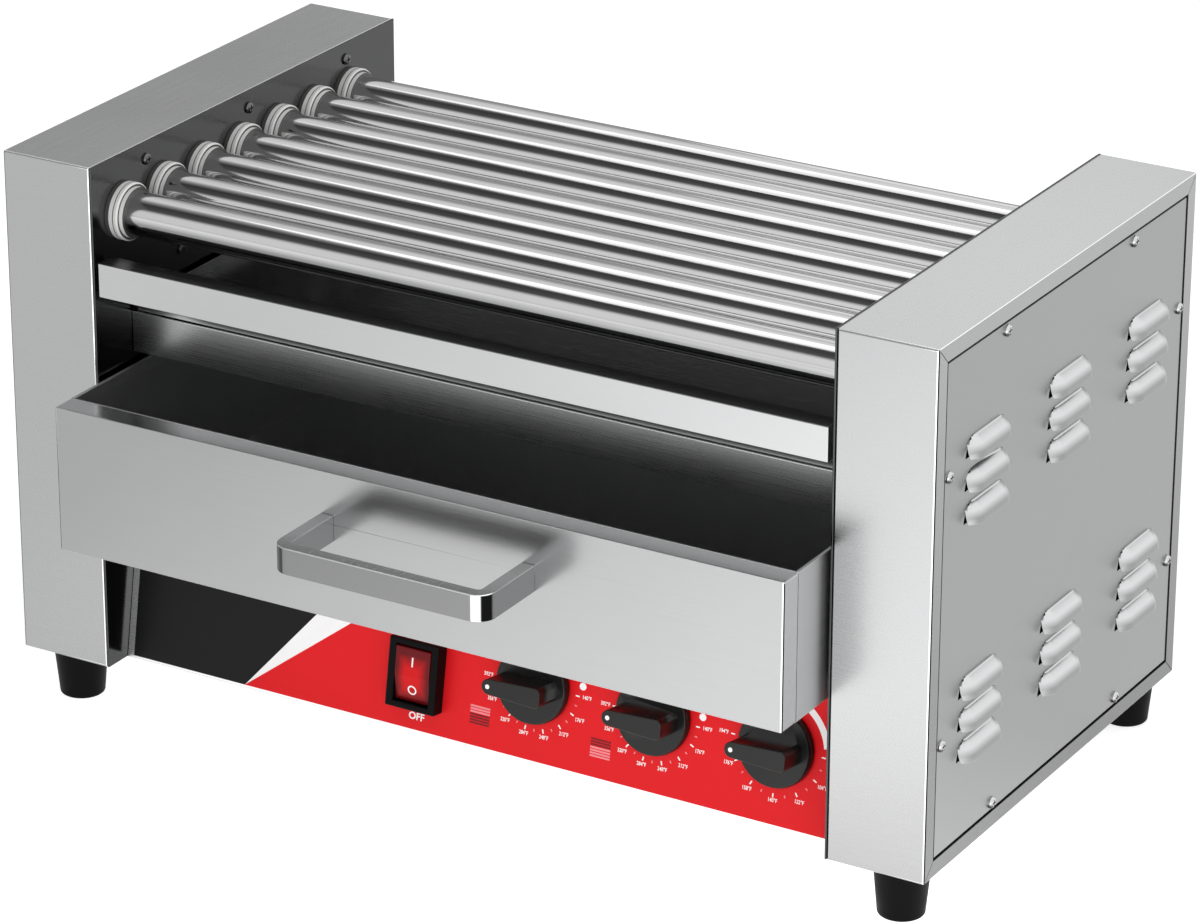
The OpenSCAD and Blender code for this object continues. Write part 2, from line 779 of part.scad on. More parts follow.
// Crossbar in the plane of the panel's upper edge, folded back below and at its ends
module front_crossbar() {
    y = panel_top_y;
    color(steel) placed() {
        block([-plate_x, y, crossbar_z], [plate_x, y + sheet, crossbar_top]);
        block([-plate_x, y + eps, crossbar_z], [plate_x, y + sheet + crossbar_fold, crossbar_z + sheet]);
        for (side = [-1, 1])
            on_side(side) block([plate_x - sheet, y + eps, crossbar_z + eps],
                [plate_x, y + sheet + crossbar_fold, crossbar_top - sheet]);
    }
}

// Channels on the inner plates, which carry the drawer and keep it from tipping
module drawer_runners() {
    low = drawer_z - slide_gap;
    high = drawer_z + drawer_h + slide_gap;
    color(steel_dark) placed() for (side = [-1, 1]) on_side(side) {
        block([plate_x - thin_sheet, runner_y, low - sheet], [plate_x, runner_back, high + sheet]);
        block([plate_x - runner_w, runner_y, low - sheet], [plate_x - eps, runner_back, low]);
        block([plate_x - runner_w, runner_y, high], [plate_x - eps, runner_back, high + sheet]);
    }
}

// Open drawer box with a doubled edge round its top
module drawer_body() {
    y1 = drawer_body_y + drawer_len;
    top = drawer_z + drawer_h;
    t = thin_sheet;
    color(steel) placed() difference() {
        block([-drawer_half, drawer_body_y, drawer_z], [drawer_half, y1, top]);
        block([-drawer_half + t, drawer_body_y + t, drawer_z + t], [drawer_half - t, y1 - t, top - hem]);
        block([-drawer_half + 2 * t, drawer_body_y + t, drawer_z + 2 * t],
            [drawer_half - 2 * t, y1 - 2 * t, top + cut]);
    }
}

// Hollow drawer front: a plate folded back on all four sides
module drawer_front() {
    y0 = drawer_front_y;
    t = thin_sheet;
    top = drawer_z + drawer_h;
    color(steel) placed() difference() {
        block([-drawer_half, y0, drawer_z], [drawer_half, drawer_body_y, top]);
        block([-drawer_half + t, y0 + t, drawer_z + t], [drawer_half - t, drawer_body_y + cut, top - t]);
        for (x = handle_screw_places())
            translate([x, y0 - cut, handle_mid_z]) rotate([-90, 0, 0])
                cylinder(h = t + 2 * cut, d = screw_hole_d);
    }
}

function handle_screw_places() =
    [handle_x - handle_w / 2 + handle_bar / 2, handle_x + handle_w / 2 - handle_bar / 2];

// Outline of a loop seen from above, with its far corners rounded
module loop_outline(w, out, r) {
    translate([-w / 2, -out + r]) square([w, out - r]);
    translate([-w / 2 + r, -out]) square([w - 2 * r, out]);
    for (s = [-1, 1])
        translate([s * (w / 2 - r), -out + r]) circle(r = r);
}

// Flat bar bent to a loop, drilled for its screws
module drawer_handle() {
    inner_r = max(handle_r - handle_bar, 1);
    color(steel) placed() difference() {
        translate([handle_x, drawer_front_y, handle_mid_z - handle_h / 2])
            linear_extrude(handle_h) difference() {
                loop_outline(handle_w, handle_out, handle_r);
                translate([0, cut])
                    loop_outline(handle_w - 2 * handle_bar, handle_out - handle_bar + cut, inner_r);
            }
        for (x = handle_screw_places())
            translate([x, drawer_front_y + cut, handle_mid_z]) rotate([90, 0, 0])
                cylinder(h = handle_screw_len + 2 * cut, d = screw_d + 0.1);
    }
}

module handle_screws() {
    color(chrome) placed() for (x = handle_screw_places())
        translate([x, drawer_front_y + thin_sheet, handle_mid_z]) rotate([-90, 0, 0]) screw(handle_screw_len);
}

// Angles on the inner plates that carry the drip tray
module tray_ledges() {
    y0 = runner_y;
    color(steel_dark) placed() for (side = [-1, 1]) on_side(side) {
        block([plate_x - sheet, y0, crossbar_top - fold], [plate_x, tray_back, crossbar_top]);
        block([plate_x - tray_ledge_w, y0, crossbar_top - sheet], [plate_x - eps, tray_back, crossbar_top]);
    }
}

// Drip tray: a shallow pan, a shelf over the crossbar and a hemmed lip between the housings
module drip_tray() {
    t = thin_sheet;
    shelf_z = tray_z + tray_shelf;
    lip_top = shelf_z + tray_lip;
    hem_h = 4;
    color(steel) placed() {
        difference() {
            block([-tray_half, tray_front, tray_z], [tray_half, tray_back, tray_z + tray_wall]);
            block([-tray_half + t, tray_front + t, tray_z + t],
                [tray_half - t, tray_back - t, tray_z + tray_wall + cut]);
        }
        block([-tray_half, tray_front, tray_z + t / 2], [tray_half, tray_front + t, shelf_z + t]);
        block([-tray_half, 0, shelf_z], [tray_half, tray_front + t / 2, shelf_z + t]);
        block([-tray_half, 0, shelf_z + eps], [tray_half, t, lip_top]);
        block([-tray_half, eps, lip_top - t], [tray_half, tray_hem, lip_top]);
        block([-tray_half, tray_hem - t, lip_top - hem_h], [tray_half, tray_hem, lip_top - eps]);
    }
}

// Roller tube, open at its ends
module roller(i) {
    y = roller_first_y + (i - 1) * roller_pitch;
    color(chrome) placed() along_x([-roller_end, y, roller_z]) difference() {
        cylinder(h = 2 * roller_end, d = roller_d);
        translate([0, 0, -cut]) cylinder(h = 2 * (roller_end + cut), d = roller_d - 2 * roller_wall);
    }
}

module roller_1() {
    roller(1);
}

module roller_2() {
    roller(2);
}

module roller_3() {
    roller(3);
}

module roller_4() {
    roller(4);
}

module roller_5() {
    roller(5);
}

module roller_6() {
    roller(6);
}

module roller_7() {
    roller(7);
}

// Toothed wheel in the Y-Z plane with a tooth space straight up, or straight down for the motor
module wheel_outline(teeth, first, bore) {
    r = teeth * chain_pitch / (2 * PI);
    difference() {
        circle(r = r + chain_roller_d * 0.4);
        for (k = [0:teeth - 1])
            rotate(first + k * 360 / teeth) translate([r + tooth_flare, 0])
                circle(r = chain_roller_d / 2 + tooth_gap + tooth_flare);
        circle(d = bore);
    }
}

// Sprocket on a roller's right end, with a hub on the tube
module sprocket(i) {
    y = roller_first_y + (i - 1) * roller_pitch;
    bore = roller_d + 0.1;
    color(steel_dark) placed() translate([0, y, roller_z]) {
        across(chain_x - sprocket_t / 2, sprocket_t) wheel_outline(roller_teeth, 90, bore);
        across(chain_x + sprocket_t / 2 - eps, roller_end - chain_x - sprocket_t / 2) difference() {
            circle(d = bore + 1.8);
            circle(d = bore);
        }
    }
}

module sprocket_1() {
    sprocket(1);
}

module sprocket_2() {
    sprocket(2);
}

module sprocket_3() {
    sprocket(3);
}

module sprocket_4() {
    sprocket(4);
}

module sprocket_5() {
    sprocket(5);
}

module sprocket_6() {
    sprocket(6);
}

module sprocket_7() {
    sprocket(7);
}

// Grooved bushes that carry the rollers in an inner plate, each with a snap ring behind the plate
module bushes(side) {
    bore = roller_d / 2 + running_fit;
    r = bush_d / 2;
    neck = bush_neck_d / 2;
    color(bush_white) placed() on_side(side) for (i = [0:roller_n - 1])
        along_x([plate_x, roller_first_y + i * roller_pitch, roller_z]) rotate_extrude()
            polygon([[bore, -bush_collar - bush_lip], [bush_lip_d / 2, -bush_collar - bush_lip],
                [bush_lip_d / 2, -bush_collar], [r - 0.8, -bush_collar], [r, -bush_collar + 0.8],
                [r, -bush_collar * 0.56], [r - bush_groove, -bush_collar * 0.5], [r, -bush_collar * 0.44],
                [r, 0], [neck, 0], [neck, sheet], [snap_ring_d / 2, sheet],
                [snap_ring_d / 2, sheet + snap_ring], [bore, sheet + snap_ring]]);
}

module bushes_left() {
    bushes(-1);
}

module bushes_right() {
    bushes(1);
}

// Heating rods down the middle of the rollers, with a stud at each end
module heating_rods() {
    color(steel_dark) placed() for (i = [0:roller_n - 1])
        along_x([0, roller_first_y + i * roller_pitch, roller_z]) {
            translate([0, 0, -rod_end]) cylinder(h = 2 * rod_end, d = rod_d);
            translate([0, 0, -rod_end - stud_len]) cylinder(h = 2 * (rod_end + stud_len), d = rod_d / 2);
        }
}

// Bridges that stand on the housings' lips and hold the heating rods
module rod_brackets() {
    y0 = lip_w / 2;
    y1 = depth - lip_w / 2;
    color(steel_dark) placed() for (side = [-1, 1]) on_side(side) difference() {
        union() {
            block([rod_bracket_x, y0, roller_z - bridge_w / 2],
                [rod_bracket_x + bracket_t, y1, roller_z + bridge_w / 2]);
            for (y = [y0, y1 - bracket_t])
                block([plate_back + sheet, y, roller_z - bridge_w / 2],
                    [rod_bracket_x + eps, y + bracket_t, roller_z + bridge_w / 2]);
        }
        for (i = [0:roller_n - 1])
            along_x([rod_bracket_x - cut, roller_first_y + i * roller_pitch, roller_z])
                cylinder(h = bracket_t + 2 * cut, d = rod_d + 2 * slide_gap);
    }
}

// Outline of the chain's link plates on the rear half: a disc at each pin and a strap between pins
module link_outline() {
    for (i = [0:half_links - 1]) {
        a = chain_point(i * chain_pitch);
        b = chain_point((i + 1) * chain_pitch);
        translate(a) circle(d = chain_plate_h);
        translate(a) rotate(atan2(b[1] - a[1], b[0] - a[0]))
            translate([0, -chain_plate_h * 0.4]) square([norm(b - a), chain_plate_h * 0.8]);
    }
    translate(chain_point(half_links * chain_pitch)) circle(d = chain_plate_h);
}

// Closed drive chain: two rows of link plates joined by a roller at each pin
module drive_chain() {
    $fn = 16;
    color(steel_dark) placed() translate([0, roller_mid_y, roller_z]) {
        for (x = [chain_x - chain_side - link_t, chain_x + chain_side])
            across(x, link_t) {
                link_outline();
                mirror([1, 0]) link_outline();
            }
        across(chain_x - chain_side - eps, 2 * (chain_side + eps)) {
            for (i = [0:half_links])
                translate(chain_point(i * chain_pitch)) circle(d = chain_roller_d);
            mirror([1, 0]) for (i = [1:half_links - 1])
                translate(chain_point(i * chain_pitch)) circle(d = chain_roller_d);
        }
    }
}

// Motor: reach of the sprocket's hub from the chain's middle, and the boss in the bracket
hub_reach = 6.5;
boss_d = motor_shaft_d + 11;

// Motor sprocket with its hub toward the inner plate
module motor_sprocket() {
    color(steel_dark) placed() translate([0, roller_mid_y, motor_z]) {
        across(chain_x - sprocket_t / 2, sprocket_t) wheel_outline(motor_teeth, -90, motor_shaft_d + 0.1);
        across(chain_x - hub_reach, hub_reach - sprocket_t / 2 + eps) difference() {
            circle(d = motor_shaft_d + 7);
            circle(d = motor_shaft_d + 0.1);
        }
    }
}

module motor_shaft() {
    start = chain_x - hub_reach - 1;
    color(chrome) placed() along_x([start, roller_mid_y, motor_z])
        cylinder(h = motor_end - start, d = motor_shaft_d);
}

// Gear motor: a round case with a boss and a bore for its shaft
module gear_motor() {
    color(charcoal) placed() along_x([motor_x, roller_mid_y, motor_z]) difference() {
        union() {
            cylinder(h = motor_len, d = motor_d);
            translate([0, 0, -bracket_t]) cylinder(h = bracket_t + cut, d = boss_d);
            translate([0, 0, motor_len * 0.45]) cylinder(h = 1.2, d = motor_d + 3);
        }
        translate([0, 0, -bracket_t - cut])
            cylinder(h = motor_end - bracket_x + cut + 0.3, d = motor_shaft_d + 2 * running_fit);
    }
}

// Bracket that stands the motor off the inner plate, with a foot above and below the chain
module motor_bracket() {
    half_y = motor_d / 2 + 3;
    half_z = motor_d / 2 + 6;
    foot_half = 20;
    foot_up = 10;
    t = bracket_t;
    color(steel_dark) placed() translate([0, roller_mid_y, motor_z]) difference() {
        union() {
            block([bracket_x, -half_y, -half_z], [motor_x, half_y, half_z]);
            for (up = [-1, 1]) mirror([0, 0, up < 0 ? 1 : 0]) {
                block([plate_back, -foot_half, half_z - t], [bracket_x + eps, foot_half, half_z]);
                block([plate_back, -foot_half, half_z - eps], [plate_back + t, foot_half, half_z + foot_up]);
            }
        }
        along_x([bracket_x - cut, 0, 0]) cylinder(h = t + 2 * cut, d = boss_d + 0.6);
    }
}

// Knob: a round skirt, a pointed grip and the spindle that turns in the thermostat
module knob(i) {
    gap = skin_t + 0.4;
    nose_r = grip_nose_w / 2;
    tail_r = grip_tail_w / 2;
    round_r = 3; // of the grip's blunt corners
    color(grip_grey) placed() on_panel(knob_x(i), knob_up) {
        translate([0, 0, gap]) rotate_extrude() polygon([[0, 0], [knob_d / 2, 0], [knob_d / 2, skirt_h * 0.6],
            [knob_d / 2 - 0.6, skirt_h - 0.4], [knob_d / 2 - 1.2, skirt_h], [0, skirt_h]]);
        translate([0, 0, gap + skirt_h - eps]) linear_extrude(knob_h - gap - skirt_h + eps) {
            translate([nose_r - grip_nose, 0]) circle(r = nose_r);
            for (s = [-1, 1])
                translate([grip_tail - round_r, s * (tail_r - round_r)]) circle(r = round_r);
            polygon([[nose_r - grip_nose, -nose_r], [grip_tail - round_r, -tail_r],
                [grip_tail - round_r, tail_r], [nose_r - grip_nose, nose_r]]);
            translate([grip_tail - round_r - cut, round_r - tail_r])
                square([round_r + cut, grip_tail_w - 2 * round_r]);
        }
        translate([0, 0, -spindle_len]) cylinder(h = spindle_len + gap + cut, d = spindle_d);
    }
}

spindle_len = 18;

module knob_1() {
    knob(1);
}

module knob_2() {
    knob(2);
}

module knob_3() {
    knob(3);
}

// Thermostats against the panel's back, each with a neck in the panel and a capillary stub
module thermostats() {
    color(steel_dark) placed() for (i = [1:knob_n])
        on_panel(knob_x(i), knob_up) difference() {
            union() {
                block([-thermostat_w / 2, -thermostat_h / 2, -sheet - thermostat_t],
                    [thermostat_w / 2, thermostat_h / 2, -sheet]);
                translate([0, 0, -sheet - eps]) cylinder(h = sheet + eps, d = neck_d);
                translate([8, 6, -sheet - thermostat_t - 5]) cylinder(h = 6, d = 3);
            }
            translate([0, 0, -spindle_len - 0.3])
                cylinder(h = spindle_len + cut, d = spindle_d + 2 * running_fit);
        }
}

pivot_up = bezel_t - 3.6; // height of the rocker's axis over the skin
pin_d = 3;
pin_len = 3;
rocker_room = 6; // depth of the rocker's well below the skin

// Switch: a bezel on the skin and a body through the panel, hollow for the rocker
module power_switch() {
    color(black) placed() on_panel(switch_x, switch_up) difference() {
        union() {
            block([-bezel_w / 2, -bezel_h / 2, skin_t], [bezel_w / 2, bezel_h / 2, skin_t + bezel_t]);
            block([-body_w / 2, -body_h / 2, -switch_deep], [body_w / 2, body_h / 2, skin_t + eps]);
            for (x = [-1, 1], y = [-1, 1])
                translate([x * window_w * 0.3, y * window_h * 0.27, -switch_deep - switch_tab])
                    block([-0.4, -3, 0], [0.4, 3, switch_tab + cut]);
        }
        block([-window_w / 2, -window_h / 2, skin_t - rocker_room],
            [window_w / 2, window_h / 2, skin_t + bezel_t + cut]);
        translate([0, 0, skin_t + pivot_up]) rotate([0, 90, 0])
            cylinder(h = window_w + 2 * pin_len + 0.4, d = pin_d + 2 * running_fit, center = true);
    }
}

// Rocker: two faces that meet in a low ridge, on a pin at each side, with its lower end pressed
module switch_rocker() {
    w = window_w - 0.6;
    h = window_h / 2 - 0.7;
    color(red) placed() on_panel(switch_x, switch_up) translate([0, 0, skin_t + pivot_up])
        rotate([rocker_tilt, 0, 0]) {
            across(-w / 2, w) polygon([[-h, 2], [-h, -3.4], [0, -6], [h, -3.4], [h, 2], [0, 3.8]]);
            translate([-w / 2 - pin_len, 0, 0]) rotate([0, 90, 0]) cylinder(h = w + 2 * pin_len, d = pin_d);
        }
}

// Tubular heater under the drawer: straight runs joined by half rings, its ends in the right housing
module drawer_heater() {
    d = drawer_heater_d;
    p = drawer_heater_pitch;
    end = plate_back + 13; // the cold ends reach into the housing
    color(steel_dark) placed() translate([0, drawer_heater_y, drawer_heater_z]) {
        for (i = [0:drawer_heater_n - 1]) {
            reach = i == 0 || i == drawer_heater_n - 1 ? end : drawer_heater_half;
            along_x([-drawer_heater_half, i * p, 0]) cylinder(h = drawer_heater_half + reach, d = d);
        }
        for (i = [0:drawer_heater_n - 2]) {
            turn = i % 2 == 0 ? 90 : -90;
            translate([i % 2 == 0 ? -drawer_heater_half : drawer_heater_half, (i + 0.5) * p, 0])
                rotate(turn) rotate_extrude(angle = 180) translate([p / 2, 0]) circle(d = d);
        }
    }
}

// Shelf under that heater, folded down at its ends
module heater_shelf() {
    color(steel_dark) placed() {
        block([-plate_x, runner_y, shelf_top - sheet], [plate_x, runner_back, shelf_top]);
        for (side = [-1, 1])
            on_side(side) block([plate_x - sheet, runner_y, shelf_top - fold],
                [plate_x, runner_back, shelf_top - eps]);
    }
}

// Terminal block on the base pan, with a pair of screw wells for each pole
module terminal_block() {
    pole_n = 6;
    to_back = 60; // from the block's front edge to the housings' back
    color("ivory") placed() translate([terminal_x, depth - to_back, sheet]) difference() {
        block([0, 0, 0], [pole_n * terminal_w, terminal_d, terminal_h]);
        for (i = [0:pole_n - 1], y = [0.27, 0.73])
            translate([(i + 0.5) * terminal_w, y * terminal_d, terminal_h / 3])
                cylinder(h = terminal_h, d = terminal_w / 2);
        block([-cut, terminal_d * 0.43, terminal_h * 0.7],
            [pole_n * terminal_w + cut, terminal_d * 0.57, terminal_h + cut]);
    }
}

left_housing();
right_housing();
left_inner_plate();
right_inner_plate();
left_cover();
right_cover();
cover_screws();
plate_screws();
foot_front_left();
foot_front_right();
foot_rear_left();
foot_rear_right();
foot_screws();
base_pan();
back_panel();
cord_gland();
control_panel();
skin_charcoal();
skin_stripe();
skin_red();
front_crossbar();
drawer_runners();
drawer_body();
drawer_front();
drawer_handle();
handle_screws();
tray_ledges();
drip_tray();
roller_1();
roller_2();
roller_3();
roller_4();
roller_5();
roller_6();
roller_7();
sprocket_1();
sprocket_2();
sprocket_3();
sprocket_4();
sprocket_5();
sprocket_6();
sprocket_7();
bushes_left();
bushes_right();
heating_rods();
rod_brackets();
drive_chain();
motor_sprocket();
motor_shaft();
gear_motor();
motor_bracket();
knob_1();
knob_2();
knob_3();
thermostats();
power_switch();
switch_rocker();
drawer_heater();
heater_shelf();
terminal_block();
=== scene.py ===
"""Looks for a counter-top roller grill with a warming drawer.

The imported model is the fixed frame. Folded sheets get rounded bends, every node gets a procedural
material, and the printed marks of the control panel are added. Lengths are in metres.
"""
import json
import math

import bmesh
import bpy
from mathutils import Matrix, Vector


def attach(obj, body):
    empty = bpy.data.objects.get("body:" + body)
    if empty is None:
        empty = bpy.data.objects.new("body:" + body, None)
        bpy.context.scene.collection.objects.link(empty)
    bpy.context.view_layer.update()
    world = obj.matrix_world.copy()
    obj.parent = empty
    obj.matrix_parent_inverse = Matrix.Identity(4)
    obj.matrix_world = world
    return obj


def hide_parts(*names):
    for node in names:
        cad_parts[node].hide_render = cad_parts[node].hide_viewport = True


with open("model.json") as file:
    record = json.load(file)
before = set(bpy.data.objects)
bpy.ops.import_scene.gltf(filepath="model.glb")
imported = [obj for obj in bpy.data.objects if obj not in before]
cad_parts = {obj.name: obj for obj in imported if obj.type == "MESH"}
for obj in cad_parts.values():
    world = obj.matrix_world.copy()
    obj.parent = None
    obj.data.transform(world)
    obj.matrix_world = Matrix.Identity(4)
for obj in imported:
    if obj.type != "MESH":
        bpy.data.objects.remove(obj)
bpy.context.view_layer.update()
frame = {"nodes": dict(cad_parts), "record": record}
NODES = frame["nodes"]
MM = 0.001

# Camera, fitted to the photograph
CAMERA_AT = Vector((1.38529, -2.2945, 1.30035))
CAMERA_TARGET = Vector((0.00425, 0.03885, 0.15165))
CAMERA_ROLL = math.radians(0.12)
CAMERA_LENS = 157.46
CAMERA_SENSOR = 36.0

# Leaning control panel: the middle of its lower edge, and its lean
PANEL_FOOT = Vector((0.0, -0.09325, 0.028))
PANEL_LEAN = math.radians(9.85)
PANEL_UP = Vector((0.0, math.sin(PANEL_LEAN), math.cos(PANEL_LEAN)))
PANEL_OUT = Vector((0.0, -math.cos(PANEL_LEAN), math.sin(PANEL_LEAN)))
FILM = 0.3 * MM
PRINT = 0.06 * MM

# Controls on the panel, across and up from the middle of its lower edge
KNOB_X = [37.3 * MM, 112.9 * MM, 188.5 * MM]
KNOB_UP = 45.5 * MM
SWITCH = (-36 * MM, 35 * MM)
ROCKER_TILT = math.radians(7)


# ---------------------------------------------------------------- materials

class Look:
    """A Principled material whose sockets are fed by noise in object coordinates."""

    def __init__(self, name, **fixed):
        self.material = bpy.data.materials.new(name)
        self.material.use_nodes = True
        self.tree = self.material.node_tree
        self.shader = self.tree.nodes["Principled BSDF"]
        self.coordinates = self.tree.nodes.new("ShaderNodeTexCoord")
        for socket, value in fixed.items():
            self.shader.inputs[socket.replace("_", " ")].default_value = value

    def node(self, kind, **settings):
        made = self.tree.nodes.new("ShaderNode" + kind)
        for setting, value in settings.items():
            setattr(made, setting, value)
        return made

    def link(self, source, target):
        self.tree.links.new(source, target)

    def place(self, stretch=(1, 1, 1), turn=(0, 0, 0)):
        """Object coordinates in metres, turned and then stretched."""
        mapping = self.node("Mapping")
        mapping.inputs["Rotation"].default_value = turn
        mapping.inputs["Scale"].default_value = stretch
        self.link(self.coordinates.outputs["Object"], mapping.inputs["Vector"])
        return mapping.outputs["Vector"]

    def noise(self, stretch, detail=3.0, rough=0.55, turn=(0, 0, 0)):
        made = self.node("TexNoise")
        made.inputs["Scale"].default_value = 1.0
        made.inputs["Detail"].default_value = detail
        made.inputs["Roughness"].default_value = rough
        self.link(self.place(stretch, turn), made.inputs["Vector"])
        return made.outputs["Fac"]

    def level(self, source, low, high, start=0.3, end=0.7):
        """A number that goes from low to high as the source goes from start to end."""
        made = self.node("MapRange")
        made.inputs["From Min"].default_value = start
        made.inputs["From Max"].default_value = end
        made.inputs["To Min"].default_value = low
        made.inputs["To Max"].default_value = high
        self.link(source, made.inputs["Value"])
        return made.outputs["Result"]

    def ramp(self, source, *stops):
        """A colour that follows the source through (place, colour) stops."""
        made = self.node("ValToRGB")
        elements = made.color_ramp.elements
        while len(elements) < len(stops):
            elements.new(0.5)
        for element, (place, colour) in zip(elements, stops):
            element.position = place
            element.color = (*colour, 1)
        self.link(source, made.inputs["Fac"])
        return made.outputs["Color"]

    def mix(self, factor, low, high):
        """A number between two sources, by a factor."""
        made = self.node("Mix", data_type="FLOAT")
        self.link(factor, made.inputs[0])
        for source, target in ((low, made.inputs[2]), (high, made.inputs[3])):
            self.link(source, target)
        return made.outputs[0]

    def blend(self, factor, low, high):
        """A colour between two sources, by a factor."""
        made = self.node("Mix", data_type="RGBA")
        self.link(factor, made.inputs[0])
        self.link(low, made.inputs[6])
        self.link(high, made.inputs[7])
        return made.outputs[2]

    def add(self, first, second, share=1.0):
        made = self.node("Math", operation="MULTIPLY_ADD")
        made.inputs[1].default_value = share
        self.link(second, made.inputs[0])
        self.link(first, made.inputs[2])
        return made.outputs[0]

    def facing(self, axis, start=0.6, end=0.8):
        """1 where the surface faces along an axis, either way, and 0 where it runs along it."""
        split = self.node("SeparateXYZ")
        self.link(self.coordinates.outputs["Normal"], split.inputs[0])
        size = self.node("Math", operation="ABSOLUTE")
        self.link(split.outputs[axis], size.inputs[0])
        return self.level(size.outputs[0], 0, 1, start, end)

    def directions(self):
        """How far the surface faces to the left, right, front, back, bottom and top."""
        split = self.node("SeparateXYZ")
        self.link(self.coordinates.outputs["Normal"], split.inputs[0])
        return [self.level(output, 0, 1, 0, end) for output in split.outputs for end in (-1, 1)]

    def turn(self, start, end, source, other):
        """1 on the part of a bend where the source is between start and end and the other is above 0."""
        rise, fall = 0.08, 0.04
        other_from = (0.08, 0.25)
        inside = self.ramp(source, (start, grey(0)), (start + rise, grey(1)),
                           (end - fall, grey(1)), (end, grey(0)))
        both = self.node("Math", operation="MULTIPLY")
        self.link(inside, both.inputs[0])
        self.link(self.level(other, 0, 1, *other_from), both.inputs[1])
        return both.outputs[0]

    def shade(self, colour, factor, tone):
        """The colour, turned to a tone by a factor."""
        return self.blend(factor, colour, self.ramp(factor, (0, steel(tone)), (1, steel(tone))))

    def set(self, socket, source):
        self.link(source, self.shader.inputs[socket])

    def bump(self, height, distance, strength=1.0):
        made = self.node("Bump")
        made.inputs["Distance"].default_value = distance
        made.inputs["Strength"].default_value = strength
        self.link(height, made.inputs["Height"])
        self.link(made.outputs["Normal"], self.shader.inputs["Normal"])


def grey(level):
    return (level, level, level)


def steel(level):
    """The faintly cool grey of stainless sheet."""
    return (level * 0.992, level, level * 1.006)


# Bands of a bend, by how far it has turned from one face towards the next, and the painted highlight and
# painted shade tones on them
TOP_BEND = (0.12, 0.985)
RIGHT_BEND_HIGHLIGHT = (0.12, 0.62)
RIGHT_BEND_DARK = (0.58, 0.99)
LEFT_BEND_DARK = (0.20, 0.99)
PAINTED_HIGHLIGHT = 0.95
PAINTED_DARK_LINE = 0.005
PAINTED_SOFT_DARK_LINE = 0.04
# Roughness that a matt bend adds, and where backs and undersides take a painted shade
MATT_BEND = 0.5
PAINTED_BACK_SHADE_FROM = (0.3, 0.7)
# Heights between which a side's painted shade turns to painted light, darker low and lighter high up
PAINTED_FALL_FROM = (0.03, 0.32)


def brushed(name, painted_tones, rough, fine=2600, depth=1.0, contrast=0.045, along="Y", top_from=(0.6, 0.8),
            bends=None, fall=None, painted_back_shade=None):
    """Brushed stainless sheet, with painted light and shade: a tone of its own for fronts, sides and tops.

    The grain is level on upright faces and runs along X or Y on tops. Bends get painted highlights and
    painted dark lines, with the edge between front and top "matt" (only rougher) or "bright" (a painted
    highlight). The fall is the share of the side tone low and high up, painted shade low and painted light
    high up.
    Backs and undersides can take a painted shade.
    """
    look = Look(name, Metallic=1.0)
    upright = look.noise((14, 14, fine), 4.0, 0.7)
    flat = look.noise((fine, 14, 14) if along == "Y" else (14, fine, 14), 4.0, 0.7)
    top = look.facing("Z", *top_from)
    grain = look.mix(top, upright, flat)
    clouds = look.noise((9, 9, 9), 4.0, 0.6)
    both = look.level(look.add(grain, clouds, 0.5), 0, 1, 0.45, 1.05)

    def grained(tone):
        return look.ramp(both, (0, steel(tone * (1 - contrast))), (1, steel(tone * (1 + contrast))))

    front, side, above = [grained(tone) for tone in painted_tones]
    # Painted shade low on the sides, painted light high up
    if fall:
        place = look.node("SeparateXYZ")
        look.link(look.coordinates.outputs["Object"], place.inputs[0])
        height = look.level(place.outputs["Z"], 0, 1, *PAINTED_FALL_FROM)
        side = look.blend(height, *[grained(painted_tones[1] * share) for share in fall])
    # Painted light and shade: fronts, sides and tops each take their own tone
    colour = look.blend(top, look.blend(look.facing("X"), front, side), above)
    roughness = look.level(both, rough * 0.88, rough * 1.15, 0, 1)
    if bends:
        # Painted highlights and painted dark lines on the bends, by which way they face
        left, right, ahead, back, below, up = look.directions()
        edge = look.turn(*TOP_BEND, up, ahead)
        colour = look.shade(colour, look.turn(*TOP_BEND, up, right), PAINTED_HIGHLIGHT)
        colour = look.shade(colour, look.turn(*RIGHT_BEND_HIGHLIGHT, right, ahead), PAINTED_HIGHLIGHT)
        colour = look.shade(colour, look.turn(*RIGHT_BEND_DARK, right, ahead), PAINTED_DARK_LINE)
        colour = look.shade(colour, look.turn(*LEFT_BEND_DARK, left, ahead), PAINTED_SOFT_DARK_LINE)
        # Painted shade on the backs and undersides
        if painted_back_shade:
            for away in (back, below):
                colour = look.shade(colour, look.level(away, 0, 1, *PAINTED_BACK_SHADE_FROM), painted_back_shade)
        # A bright front-top edge is a painted highlight; a matt one is only rougher
        if bends == "bright":
            colour = look.shade(colour, edge, PAINTED_HIGHLIGHT)
        else:
            roughness = look.add(roughness, edge, MATT_BEND)
    look.set("Base Color", colour)
    look.set("Roughness", roughness)
    look.bump(grain, 0.02 * MM * depth, 0.2)
    return look.material


def chrome(name, tone=0.8, rough=0.06, painted_under_shade=None, turned=(-0.25, 0.05)):
    """Polished plating with fine turning marks round X and faint handling haze.

    It can have a painted shade under it, a darker tone from the part that is turned down so far.
    """
    look = Look(name, Metallic=1.0)
    turning = look.noise((2200, 30, 30), 3.0)
    haze = look.noise((22, 60, 60), 4.0, 0.6)
    colour = look.ramp(haze, (0.3, grey(tone * 0.94)), (0.7, grey(tone)))
    # Painted shade on the parts that face down
    if painted_under_shade:
        split = look.node("SeparateXYZ")
        look.link(look.coordinates.outputs["Normal"], split.inputs[0])
        colour = look.shade(colour, look.level(split.outputs["Z"], 1, 0, *turned), painted_under_shade)
    look.set("Base Color", colour)
    look.set("Roughness", look.add(look.level(haze, rough, rough * 2.2), look.level(turning, 0, 1), 0.02))
    look.bump(turning, 0.006 * MM, 0.3)
    return look.material


